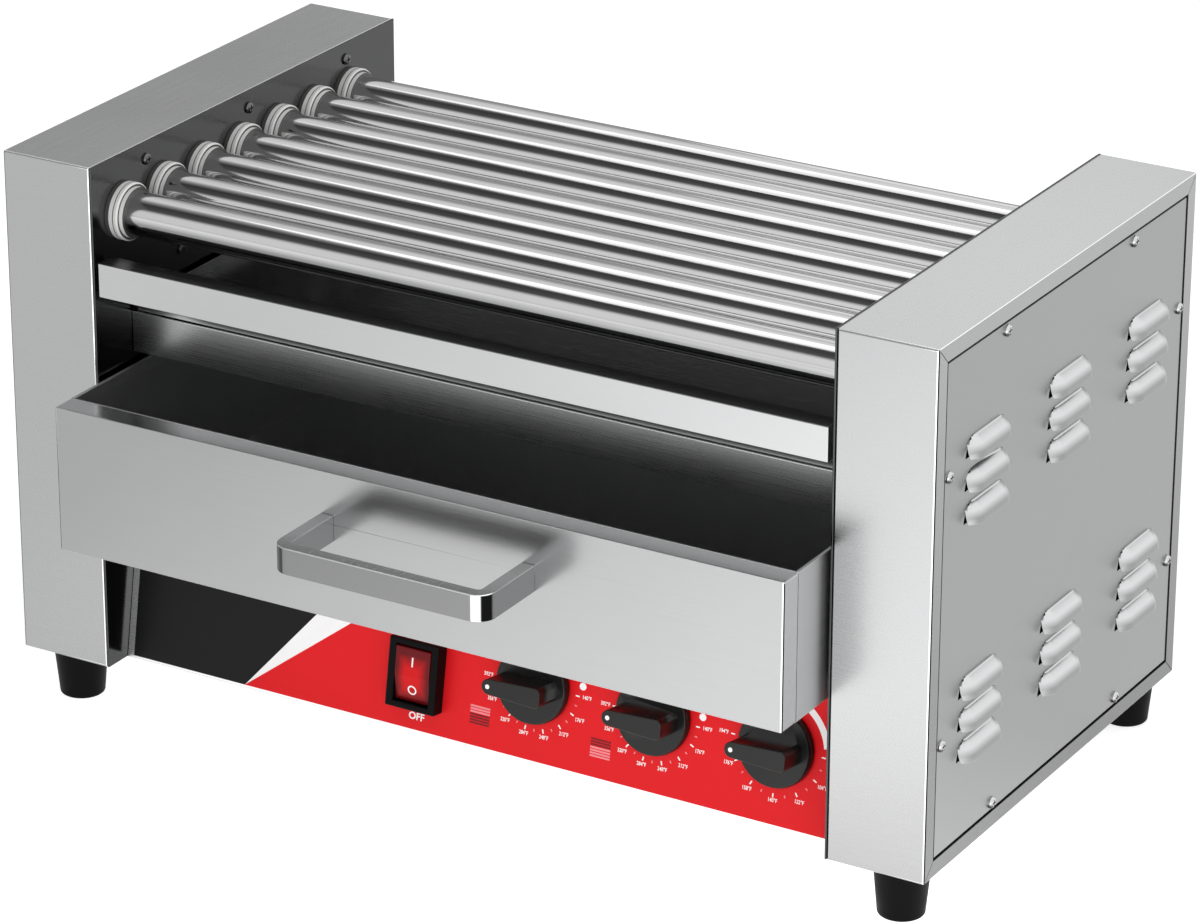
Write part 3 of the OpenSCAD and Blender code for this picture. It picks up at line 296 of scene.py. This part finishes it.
def moulded(name, colour, rough, grain=900, depth=0.02, painted_end_shade=None, **fixed):
    """Moulded plastic or rubber with a fine grain and slight unevenness.

    Its end faces across X can take a painted shade.
    """
    look = Look(name, **fixed)
    fine = look.noise((grain, grain, grain), 2.0)
    clouds = look.noise((40, 40, 40), 3.0)
    dark = tuple(c * 0.86 for c in colour)
    body = look.ramp(clouds, (0.3, dark), (0.7, colour))
    # Painted shade on the end faces across X
    if painted_end_shade:
        end_shade_mask = look.facing("X", 0.7, 0.95)
        body = look.blend(end_shade_mask, body, look.ramp(clouds, (0.3, grey(0.8 * painted_end_shade[0])), (0.7, painted_end_shade)))
    look.set("Base Color", body)
    look.set("Roughness", look.level(clouds, rough * 0.85, rough * 1.2))
    look.bump(fine, depth * MM, 0.5)
    return look.material


def printed(name, colour, rough=0.36):
    """Printed polyester film: even ink with a faint orange-peel surface."""
    look = Look(name, Specular_IOR_Level=0.12)
    peel = look.noise((700, 700, 700), 2.0)
    drift = look.noise((6, 6, 6), 2.0)
    low = tuple(c * 0.95 for c in colour)
    look.set("Base Color", look.ramp(drift, (0.3, low), (0.7, colour)))
    look.set("Roughness", look.level(peel, rough * 0.9, rough * 1.15))
    look.bump(peel, 0.01 * MM, 0.3)
    return look.material


def rocker_red():
    """Translucent red plastic, with a painted glow: its colour is brighter in the middle, standing in for the
    light it passes.
    """
    look = Look("rocker_red", Specular_IOR_Level=0.14)
    split = look.node("SeparateXYZ")
    look.link(look.coordinates.outputs["Object"], split.inputs[0])
    across = look.level(split.outputs["X"], -1, 1, SWITCH[0] - 11 * MM, SWITCH[0] + 11 * MM)
    height = PANEL_FOOT.z + SWITCH[1] * math.cos(PANEL_LEAN)
    along = look.level(split.outputs["Z"], -1, 1, height - 15 * MM, height + 15 * MM)
    far = look.node("Math", operation="MAXIMUM")
    for value, target in ((across, far.inputs[0]), (along, far.inputs[1])):
        size = look.node("Math", operation="ABSOLUTE")
        look.link(value, size.inputs[0])
        look.link(size.outputs[0], target)
    clouds = look.noise((120, 120, 120), 3.0)
    where = look.add(far.outputs[0], clouds, 0.25)
    # Painted glow: bright red in the middle, fading to dark red at the rim
    look.set("Base Color", look.ramp(where, (0.5, (0.56, 0.004, 0.006)), (1.0, (0.12, 0.003, 0.005))))
    look.set("Roughness", look.level(clouds, 0.16, 0.26))
    look.bump(clouds, 0.02 * MM, 0.3)
    return look.material


# The tones of brushed sheets are for fronts, sides and tops: painted light and shade, each face lighter or
# darker by which way it turns
SHELL = brushed("shell_brushed_steel", (0.40, 0.33, 0.77), 0.27, contrast=0.032, bends="matt",
                fall=(0.66, 1.12))
BAR = brushed("crossbar_brushed_steel", (0.40, 0.33, 0.75), 0.27, bends="bright")
LIP = brushed("control_panel_steel", (0.60, 0.33, 0.77), 0.27, contrast=0.03, bends="bright", painted_back_shade=0.02)
# Cover: its louvre hoods turn to the top tone early, painted light on their rounded tops
COVER = brushed("cover_satin_steel", (0.40, 0.315, 0.64), 0.30, 3200, 0.4, 0.02, top_from=(0.25, 0.55))
DRAWER = brushed("drawer_brushed_steel", (0.345, 0.55, 0.95), 0.22, 2600, 0.8, along="X", bends="bright")
BOX = brushed("drawer_box_satin_steel", (0.36, 0.55, 0.80), 0.42, 2600, 0.8, along="X", bends="bright")
TRAY = brushed("tray_brushed_steel", (0.48, 0.40, 0.30), 0.25, 2600, 0.5, 0.03, along="X")
HANDLE = brushed("handle_satin_steel", (0.205, 0.30, 0.95), 0.25, 3200, 0.6, 0.03, bends="bright",
                 painted_back_shade=0.03)
# Inner plates: the housing steel at a very dark tone, painted shade for the recesses they line
PLATE = brushed("plate_painted_shade_steel", (0.07, 0.07, 0.07), 0.16, 1800, 0.5)
PANEL = brushed("panel_brushed_steel", (0.30, 0.30, 0.30), 0.25, 1800, 0.8)
SHADED = brushed("shaded_steel", (0.03, 0.03, 0.03), 0.5, 1800, 0.5)
PLATED = brushed("zinc_plated_steel", (0.36, 0.36, 0.36), 0.34, 700, 1.2, 0.1)
CHROME = chrome("roller_chrome", painted_under_shade=0.25, turned=(-0.1, 0.3))
SCREW = chrome("screw_chrome", 0.62, 0.10, painted_under_shade=0.06)
SHADED_SCREW = chrome("screw_in_shade", 0.14, 0.14, painted_under_shade=0.03)
RUBBER = moulded("foot_rubber", (0.002, 0.002, 0.0025), 0.5, 1200, 0.03, Specular_IOR_Level=0.08)
# Bushes: white, with painted shade on the end faces beside the rollers
BUSH = moulded("bush_white", (0.74, 0.74, 0.73), 0.38, 600, 0.02, painted_end_shade=(0.05, 0.05, 0.05))
KNOB = moulded("knob_black", (0.004, 0.005, 0.004), 0.30, 800, 0.012, Specular_IOR_Level=0.32)
BEZEL = moulded("switch_black", (0.003, 0.003, 0.003), 0.28, 1500, 0.02, Specular_IOR_Level=0.06)
GLAND = moulded("gland_black", (0.02, 0.02, 0.021), 0.4)
TERMINAL = moulded("terminal_ivory", (0.72, 0.66, 0.5), 0.45)
MOTOR = moulded("motor_paint", (0.05, 0.052, 0.055), 0.4, 500, 0.03)
CHAIN = chrome("chain_steel", 0.34, 0.3)
HEATER = moulded("heater_sheath", (0.12, 0.105, 0.09), 0.5, 300, 0.05, Metallic=0.8)
RED_FILM = printed("film_red", (0.68, 0.010, 0.014))
CHARCOAL_FILM = printed("film_charcoal", (0.008, 0.008, 0.008))
WHITE_FILM = printed("film_white", (0.86, 0.86, 0.86))
INK = printed("ink_white", (0.9, 0.88, 0.88))
PALE_INK = printed("ink_pale", (0.80, 0.24, 0.26))
DARK_INK = printed("ink_dark", (0.20, 0.012, 0.016))
ROCKER = rocker_red()

FINISH = {
    SHELL: ["left_housing", "right_housing"],
    BAR: ["front_crossbar"],
    LIP: ["control_panel"],
    COVER: ["left_cover", "right_cover"],
    DRAWER: ["drawer_front"],
    BOX: ["drawer_body"],
    TRAY: ["drip_tray"],
    HANDLE: ["drawer_handle"],
    PLATE: ["left_inner_plate", "right_inner_plate"],
    PANEL: ["back_panel", "base_pan"],
    PLATED: ["drawer_runners", "tray_ledges", "rod_brackets", "motor_bracket", "heater_shelf", "thermostats"],
    CHROME: [f"roller_{i}" for i in range(1, 8)],
    SCREW: ["cover_screws", "foot_screws", "handle_screws", "motor_shaft"],
    SHADED_SCREW: ["plate_screws"],
    RUBBER: ["foot_front_left", "foot_front_right", "foot_rear_left", "foot_rear_right"],
    BUSH: ["bushes_left", "bushes_right"],
    KNOB: ["knob_1", "knob_2", "knob_3"],
    BEZEL: ["power_switch"],
    ROCKER: ["switch_rocker"],
    GLAND: ["cord_gland"],
    TERMINAL: ["terminal_block"],
    MOTOR: ["gear_motor"],
    CHAIN: ["drive_chain", "motor_sprocket"] + [f"sprocket_{i}" for i in range(1, 8)],
    HEATER: ["heating_rods", "drawer_heater"],
    RED_FILM: ["skin_red"],
    CHARCOAL_FILM: ["skin_charcoal"],
    WHITE_FILM: ["skin_stripe"],
}
for material, names in FINISH.items():
    for name in names:
        for holder in NODES[name].material_slots:
            holder.material = material


# ---------------------------------------------------------------- folded sheets with rounded bends

# Across the side of a housing: the back of the cover's ledge, the cover's face and the flange
LEDGE_BACK = 286.5 * MM
COVER_FACE = 289.6 * MM
FLANGE = 290 * MM
# Chamfers at the gap between them
COVER_CHAMFER = 0.5 * MM
HOUSING_CHAMFER = 0.3 * MM
GAPPED = ("left_housing", "right_housing", "left_cover", "right_cover")


def body_of(node):
    for body, members in frame["record"]["behaviour"]["bodies"].items():
        if node in members:
            return body


def face_width(face):
    return face.calc_area() / max(edge.calc_length() for edge in face.edges)


def is_outer(face):
    """Whether a face belongs to the outside of a side cover or of the flange round it."""
    return abs(face.normal.x) > 0.9 and abs(face.calc_center_median().x) > COVER_FACE - 0.3 * MM


def in_gap(face):
    """Whether a face lies in the gap between a side cover and the flange round it."""
    return LEDGE_BACK < abs(face.calc_center_median().x) < FLANGE - 0.1 * MM and not is_outer(face)


def widen_gap(work, width):
    """Shades the gap round a side cover and chamfers its outer edges."""
    for face in work.faces:
        face.material_index = 1 if in_gap(face) else 0
    edges = []
    for edge in work.edges:
        faces = edge.link_faces
        if len(faces) == 2 and faces[0].material_index + faces[1].material_index == 1:
            wall, outside = sorted(faces, key=lambda face: -face.material_index)
            square = max(abs(wall.normal.y), abs(wall.normal.z)) > 0.9
            if square and is_outer(outside) and edge.calc_face_angle_signed(0) > 0:
                edges.append(edge)
    bmesh.ops.bevel(work, geom=edges, offset=width, offset_type="OFFSET", segments=1, profile=0.5,
                    affect="EDGES", material=1)


def soften(node, bend, rim, narrow=2.5 * MM, segments=3):
    """A copy of a node with its bends rounded by bend and its sheet edges by rim, which stands for it."""
    work = bmesh.new()
    work.from_mesh(NODES[node].data)
    bmesh.ops.remove_doubles(work, verts=work.verts, dist=1e-6)
    bmesh.ops.dissolve_limit(work, angle_limit=math.radians(0.5), verts=work.verts, edges=work.edges)
    if node in GAPPED:
        widen_gap(work, COVER_CHAMFER if "cover" in node else HOUSING_CHAMFER)
    weight = work.edges.layers.float.new("bevel_weight_edge")
    for edge in work.edges:
        if len(edge.link_faces) != 2 or edge.calc_face_angle_signed(0) < math.radians(40):
            continue
        if any(face.material_index for face in edge.link_faces):
            continue
        thin = min(face_width(face) for face in edge.link_faces) < narrow
        edge[weight] = rim / bend if thin else 1.0
    mesh = bpy.data.meshes.new(node + "_soft")
    work.to_mesh(mesh)
    work.free()
    piece = bpy.data.objects.new(node + "_soft", mesh)
    bpy.context.scene.collection.objects.link(piece)
    for polygon in mesh.polygons:
        polygon.use_smooth = True
    bevel = piece.modifiers.new("bends", "BEVEL")
    bevel.limit_method = "WEIGHT"
    bevel.width = bend
    bevel.segments = segments
    bevel.use_clamp_overlap = False
    bevel.harden_normals = False
    weighted = piece.modifiers.new("flats", "WEIGHTED_NORMAL")
    weighted.keep_sharp = True
    mesh.set_sharp_from_angle(angle=math.radians(35))
    mesh.materials.append(NODES[node].material_slots[0].material)
    if node in GAPPED:
        mesh.materials.append(SHADED)
    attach(piece, body_of(node))
    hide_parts(node)
    return piece


# Radius of the bends and of the cut sheet edges, in millimetres
BENDS = {
    "left_housing": (1.1, 0.25),
    "right_housing": (1.1, 0.25),
    "left_cover": (0.25, 0.25),
    "right_cover": (0.25, 0.25),
    "left_inner_plate": (0.3, 0.3),
    "right_inner_plate": (0.3, 0.3),
    "front_crossbar": (0.7, 0.45),
    "drip_tray": (0.38, 0.25),
    "drawer_front": (1.0, 0.25),
    "drawer_body": (0.4, 0.25),
    "drawer_handle": (0.4, 0.4),
    "control_panel": (0.8, 0.25),
    "power_switch": (0.7, 0.25),
    "switch_rocker": (0.5, 0.25),
    "knob_1": (0.5, 0.5),
    "knob_2": (0.5, 0.5),
    "knob_3": (0.5, 0.5),
}
for node, (bend, rim) in BENDS.items():
    soften(node, bend * MM, rim * MM)


# ---------------------------------------------------------------- printed marks

def panel_point(across, up, out=0.0):
    return PANEL_FOOT + Vector((across, 0, 0)) + PANEL_UP * up + PANEL_OUT * out


def panel_frame(across, up, out, turn=0.0):
    """Matrix of a mark's own plane: x across, y up the panel, z out of it, turned about z."""
    basis = Matrix((Vector((1, 0, 0)), PANEL_UP, PANEL_OUT)).transposed().to_4x4()
    return Matrix.Translation(panel_point(across, up, out)) @ basis @ Matrix.Rotation(turn, 4, "Z")


class Marks:
    """Thin flat marks of one ink, gathered into one mesh."""

    def __init__(self, name, ink, body="cabinet"):
        self.work = bmesh.new()
        self.name = name
        self.ink = ink
        self.body = body

    def outline(self, points, where, thick=PRINT):
        """A closed outline in a mark's plane, as a thin plate."""
        top = [self.work.verts.new(where @ Vector((x, y, thick))) for x, y in points]
        low = [self.work.verts.new(where @ Vector((x, y, 0))) for x, y in points]
        self.work.faces.new(top)
        for i in range(len(points)):
            j = (i + 1) % len(points)
            self.work.faces.new((low[i], low[j], top[j], top[i]))

    def bar(self, width, height, where):
        w, h = width / 2, height / 2
        self.outline([(-w, -h), (w, -h), (w, h), (-w, h)], where)

    def disc(self, radius, where, steps=28):
        self.outline([(radius * math.cos(2 * math.pi * k / steps), radius * math.sin(2 * math.pi * k / steps))
                      for k in range(steps)], where)

    def arc(self, radius, width, start, end, where, steps=24):
        """A curved band between two angles in degrees."""
        turns = [math.radians(start + (end - start) * k / steps) for k in range(steps + 1)]
        for a, b in zip(turns, turns[1:]):
            self.outline([(r * math.cos(t), r * math.sin(t)) for r, t in
                          ((radius, a), (radius + width, a), (radius + width, b), (radius, b))], where)

    def word(self, text, size, where, squeeze=0.9, bold=0.0):
        """Numbers and plain letters, centred, from the built-in typeface."""
        curve = bpy.data.curves.new(self.name + "_" + text, "FONT")
        curve.body = text
        curve.size = size
        curve.align_x = "CENTER"
        curve.align_y = "CENTER"
        curve.extrude = PRINT / 2
        curve.offset = bold
        curve.resolution_u = 3
        holder = bpy.data.objects.new(curve.name, curve)
        mesh = bpy.data.meshes.new_from_object(holder)
        mesh.transform(where @ Matrix.Diagonal((squeeze, 1, 1, 1)))
        self.work.from_mesh(mesh)
        bpy.data.meshes.remove(mesh)
        bpy.data.objects.remove(holder)
        bpy.data.curves.remove(curve)

    def finish(self, slot_name):
        bmesh.ops.recalc_face_normals(self.work, faces=self.work.faces)
        mesh = bpy.data.meshes.new(self.name)
        self.work.to_mesh(mesh)
        self.work.free()
        mesh.materials.append(self.ink)
        piece = bpy.data.objects.new(self.name, mesh)
        bpy.context.scene.collection.objects.link(piece)
        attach(piece, self.body)
        return piece


# Dials: the ring's centre and radius, the turn between ticks, and the numbers on every other tick
HOT = ["140", "176", "212", "248", "284", "320", "356", "392"]
WARM = ["86", "104", "122", "140", "158", "176", "194"]
DIALS = [((38.9 * MM, 44.7 * MM), 25.5 * MM, 12.8, HOT),
         ((113.6 * MM, 44.8 * MM), 25.9 * MM, 12.8, HOT),
         ((188.5 * MM, 45.5 * MM), 27.5 * MM, 15.1, WARM)]
DOT_TURN = math.radians(12)
DOT_RING = 28.9 * MM

# Word under the switch: its size, and its middle above the panel's lower edge
OFF_SIZE = 5.8 * MM
OFF_UP = 9.4 * MM

white = Marks("dial_marks", INK)
faint = Marks("dial_half_marks", PALE_INK)


def round_dial(middle, ring, turn):
    """Frame of a mark on a dial's ring, turned outward."""
    across, up = middle[0] + ring * math.cos(turn), middle[1] + ring * math.sin(turn)
    return panel_frame(across, up, FILM, turn)


for middle, ring, step, labels in DIALS:
    for k in range(2 * len(labels) - 1):
        turn = -math.radians(k * step)
        if k % 2:
            faint.bar(1.5 * MM, 0.7 * MM, round_dial(middle, ring, turn))
            continue
        white.bar(2.4 * MM, 0.75 * MM, round_dial(middle, ring, turn))
        out = ring + (2.8 + 3.0 * abs(math.cos(turn))) * MM
        where = round_dial(middle, out, turn) @ Matrix.Rotation(-turn, 4, "Z")
        white.word(labels[k // 2] + "°F", 3.1 * MM, where, 0.8, 0.05 * MM)
for middle, ring, step, labels in DIALS[:2]:
    white.disc(2.1 * MM, round_dial(middle, DOT_RING, DOT_TURN))
white.arc(27.6 * MM, 3.8 * MM, 10, 100, panel_frame(*DIALS[2][0], FILM))
white.word("OFF", OFF_SIZE, panel_frame(SWITCH[0], OFF_UP, FILM), 1.0, 0.14 * MM)
white.finish("skin_white")
faint.finish("skin_red")

# Signs of seven bars: the middle across, the lowest bar, and the bars in the pale ink, counted from below.
# The others, in the dark ink, stand for the rollers that the dial controls.
BAR_SIGNS = [(4.3 * MM, 14.7 * MM, (4, 5, 6)), (81.3 * MM, 13.8 * MM, (0, 1, 2, 3))]
pale = Marks("bar_signs_pale", PALE_INK)
dark = Marks("bar_signs_dark", DARK_INK)
for middle, low, pale_rows in BAR_SIGNS:
    for row in range(7):
        ink = pale if row in pale_rows else dark
        ink.bar(12.6 * MM, 1.1 * MM, panel_frame(middle, low + row * 1.6 * MM, FILM))
pale.finish("skin_red")
dark.finish("skin_red")

# Slant from upright of the stripe's right edge, which starts in a point at the stripe's lower left corner
WEDGE_SLANT = math.radians(52.5)


def stripe_corners():
    """Across and up of the stripe film's corners: lower left, lower right, upper right."""
    corners = []
    for vertex in NODES["skin_stripe"].data.vertices:
        place = NODES["skin_stripe"].matrix_world @ vertex.co - PANEL_FOOT
        corners.append((place.x, place.dot(PANEL_UP)))
    middle = sum(up for across, up in corners) / len(corners)
    low = [corner for corner in corners if corner[1] < middle]
    high = [corner for corner in corners if corner[1] > middle]
    return min(low), max(low), max(high)


def wedge_marks():
    """Print over the stripe and the red film beside it, which turns the even stripe into a wedge."""
    (left, foot), (right, _), (right_top, top) = stripe_corners()
    slope = math.tan(WEDGE_SLANT)
    lean = (right_top - right) / (top - foot)
    rise = (right - left) / (slope - lean)
    meet = (left + rise * slope, foot + rise)
    over_stripe = Marks("wedge_red", RED_FILM)
    over_stripe.outline([(left, foot), (right, foot), meet], panel_frame(0, 0, FILM))
    over_stripe.finish("skin_red")
    over_red = Marks("wedge_white", WHITE_FILM)
    over_red.outline([meet, (right_top, top), (left + (top - foot) * slope, top)], panel_frame(0, 0, FILM))
    over_red.finish("skin_white")


wedge_marks()

# Dot on a knob's pointer: its radius, and its place left of the knob's axis and out from the panel
KNOB_DOT = 1.3 * MM
KNOB_DOT_LEFT = 15.7 * MM
KNOB_DOT_OUT = 25.0 * MM

dots = [Marks(f"knob_dot_{i}", INK, f"knob_{i}") for i in (1, 2, 3)]
for marks, x in zip(dots, KNOB_X):
    marks.disc(KNOB_DOT, panel_frame(x - KNOB_DOT_LEFT, KNOB_UP, KNOB_DOT_OUT))
    marks.finish("skin_white")

# Rocker: its axis out from the panel, the rise of its faces towards the ends, and their level at the axis
ROCKER_OUT = 5.7 * MM
ROCKER_SLOPE = math.atan2(1.8, 15.8)
ROCKER_LEVEL = 3.8 * MM
rocker_axis = panel_frame(SWITCH[0], SWITCH[1], ROCKER_OUT) @ Matrix.Rotation(ROCKER_TILT, 4, "X")


def rocker_face(up):
    """Matrix of a mark on the rocker's upper or lower face."""
    lean = -ROCKER_SLOPE if up > 0 else ROCKER_SLOPE
    height = ROCKER_LEVEL - abs(up) * math.tan(ROCKER_SLOPE)
    return rocker_axis @ Matrix.Translation((0, up, height)) @ Matrix.Rotation(lean, 4, "X")


signs = Marks("rocker_signs", INK, "rocker")
signs.bar(0.9 * MM, 5.4 * MM, rocker_face(8.2 * MM))
signs.arc(2.0 * MM, 0.8 * MM, 0, 360, rocker_face(-8.4 * MM), 32)
signs.finish("skin_white")


# ---------------------------------------------------------------- stage, light and camera

# Glow of the floor: its range, and where it rises from left to right and from back to front
FLOOR_GLOW = (0.68, 1.62)
FLOOR_ACROSS = (-0.45, 0.1)
FLOOR_DEEP = (-0.35, 0.15)


def make_floor():
    """A wide pale floor with a soft glow of its own, brightest in front on the right."""
    size = 30.0
    work = bmesh.new()
    bmesh.ops.create_grid(work, x_segments=2, y_segments=2, size=size)
    mesh = bpy.data.meshes.new("floor")
    work.to_mesh(mesh)
    work.free()
    floor = bpy.data.objects.new("floor", mesh)
    bpy.context.scene.collection.objects.link(floor)
    look = Look("floor_white", Roughness=0.9, Specular_IOR_Level=0.0)
    speck = look.noise((30, 30, 30), 2.0)
    look.set("Base Color", look.ramp(speck, (0.3, grey(0.54)), (0.7, grey(0.56))))
    split = look.node("SeparateXYZ")
    look.link(look.coordinates.outputs["Object"], split.inputs[0])
    right = look.level(split.outputs["X"], 0, 1, *FLOOR_ACROSS)
    front = look.level(split.outputs["Y"], 1, 0, *FLOOR_DEEP)
    corner = look.node("Math", operation="MULTIPLY")
    look.link(right, corner.inputs[0])
    look.link(front, corner.inputs[1])
    look.shader.inputs["Emission Color"].default_value = (1, 1, 1, 1)
    look.set("Emission Strength", look.level(corner.outputs[0], *FLOOR_GLOW, 0, 1))
    mesh.materials.append(look.material)


# Greys of the surroundings, from the front (0) over the top (0.5) to the back (1), at (place, grey) stops
SURROUNDINGS = [(0.0, 0.95), (0.19, 0.95), (0.27, 0.10), (0.42, 0.05), (0.50, 0.32), (0.60, 1.0),
                (0.72, 0.9), (0.82, 0.45), (0.92, 0.39), (1.0, 0.3)]
# Their strength from far left to the middle, and the even grey that takes over on the right
LEFT_FROM = (-0.85, 0.0)
LEFT_STRENGTH = (0.45, 1.25)
RIGHT_FROM = (0.05, 0.45)
RIGHT_GREY = 0.95


def make_world():
    """Soft studio surroundings: a bright front, a dark gap above it, a soft box past the top, a grey back."""
    world = bpy.data.worlds.new("studio")
    bpy.context.scene.world = world
    world.use_nodes = True
    tree = world.node_tree
    background = tree.nodes["Background"]
    place = tree.nodes.new("ShaderNodeTexCoord")
    split = tree.nodes.new("ShaderNodeSeparateXYZ")
    tree.links.new(place.outputs["Generated"], split.inputs[0])
    front = tree.nodes.new("ShaderNodeMath")
    front.operation = "MULTIPLY"
    front.inputs[1].default_value = -1
    tree.links.new(split.outputs["Y"], front.inputs[0])
    angle = tree.nodes.new("ShaderNodeMath")
    angle.operation = "ARCTAN2"
    tree.links.new(split.outputs["Z"], angle.inputs[0])
    tree.links.new(front.outputs[0], angle.inputs[1])
    share = tree.nodes.new("ShaderNodeMath")
    share.operation = "DIVIDE"
    share.inputs[1].default_value = math.pi
    tree.links.new(angle.outputs[0], share.inputs[0])
    ramp = tree.nodes.new("ShaderNodeValToRGB")
    elements = ramp.color_ramp.elements
    while len(elements) < len(SURROUNDINGS):
        elements.new(0.5)
    for element, (at, level) in zip(elements, SURROUNDINGS):
        element.position = at
        element.color = (level, level, level, 1)
    tree.links.new(share.outputs[0], ramp.inputs["Fac"])
    side = tree.nodes.new("ShaderNodeMapRange")
    side.inputs["From Min"].default_value, side.inputs["From Max"].default_value = LEFT_FROM
    side.inputs["To Min"].default_value, side.inputs["To Max"].default_value = LEFT_STRENGTH
    tree.links.new(split.outputs["X"], side.inputs["Value"])
    right = tree.nodes.new("ShaderNodeMapRange")
    right.inputs["From Min"].default_value, right.inputs["From Max"].default_value = RIGHT_FROM
    right.inputs["To Min"].default_value, right.inputs["To Max"].default_value = (0, 1)
    tree.links.new(split.outputs["X"], right.inputs["Value"])
    fill = tree.nodes.new("ShaderNodeMix")
    fill.data_type = "RGBA"
    tree.links.new(right.outputs["Result"], fill.inputs[0])
    tree.links.new(ramp.outputs["Color"], fill.inputs[6])
    fill.inputs[7].default_value = (*grey(RIGHT_GREY), 1)
    tree.links.new(fill.outputs[2], background.inputs["Color"])
    tree.links.new(side.outputs["Result"], background.inputs["Strength"])


def soft_light(name, at, target, size, power):
    light = bpy.data.lights.new(name, "AREA")
    light.shape = "RECTANGLE"
    light.size, light.size_y = size
    light.energy = power
    holder = bpy.data.objects.new(name, light)
    holder.location = at
    holder.rotation_euler = (Vector(target) - Vector(at)).to_track_quat("-Z", "Y").to_euler()
    bpy.context.scene.collection.objects.link(holder)


def make_camera():
    data = bpy.data.cameras.new("camera")
    data.lens = CAMERA_LENS
    data.sensor_fit = "HORIZONTAL"
    data.sensor_width = CAMERA_SENSOR
    data.clip_end = 100
    camera = bpy.data.objects.new("camera", data)
    back = (CAMERA_AT - CAMERA_TARGET).normalized()
    right = Vector((0, 0, 1)).cross(back).normalized()
    up = back.cross(right)
    turned = Matrix((right, up, back)).transposed() @ Matrix.Rotation(CAMERA_ROLL, 3, "Z")
    camera.matrix_world = Matrix.Translation(CAMERA_AT) @ turned.to_4x4()
    bpy.context.scene.collection.objects.link(camera)
    bpy.context.scene.camera = camera


make_floor()
make_world()
soft_light("overhead", at=(-0.2, 0.5, 2.4), target=(0, 0, 0.2), size=(2.4, 1.0), power=6.5)
soft_light("right_top_card", at=(-0.36, 1.26, 0.94), target=(0.26, 0.04, 0.33), size=(0.5, 0.5), power=0.38)
make_camera()
view = bpy.context.scene.view_settings
view.view_transform = "Standard"
view.look = "None"
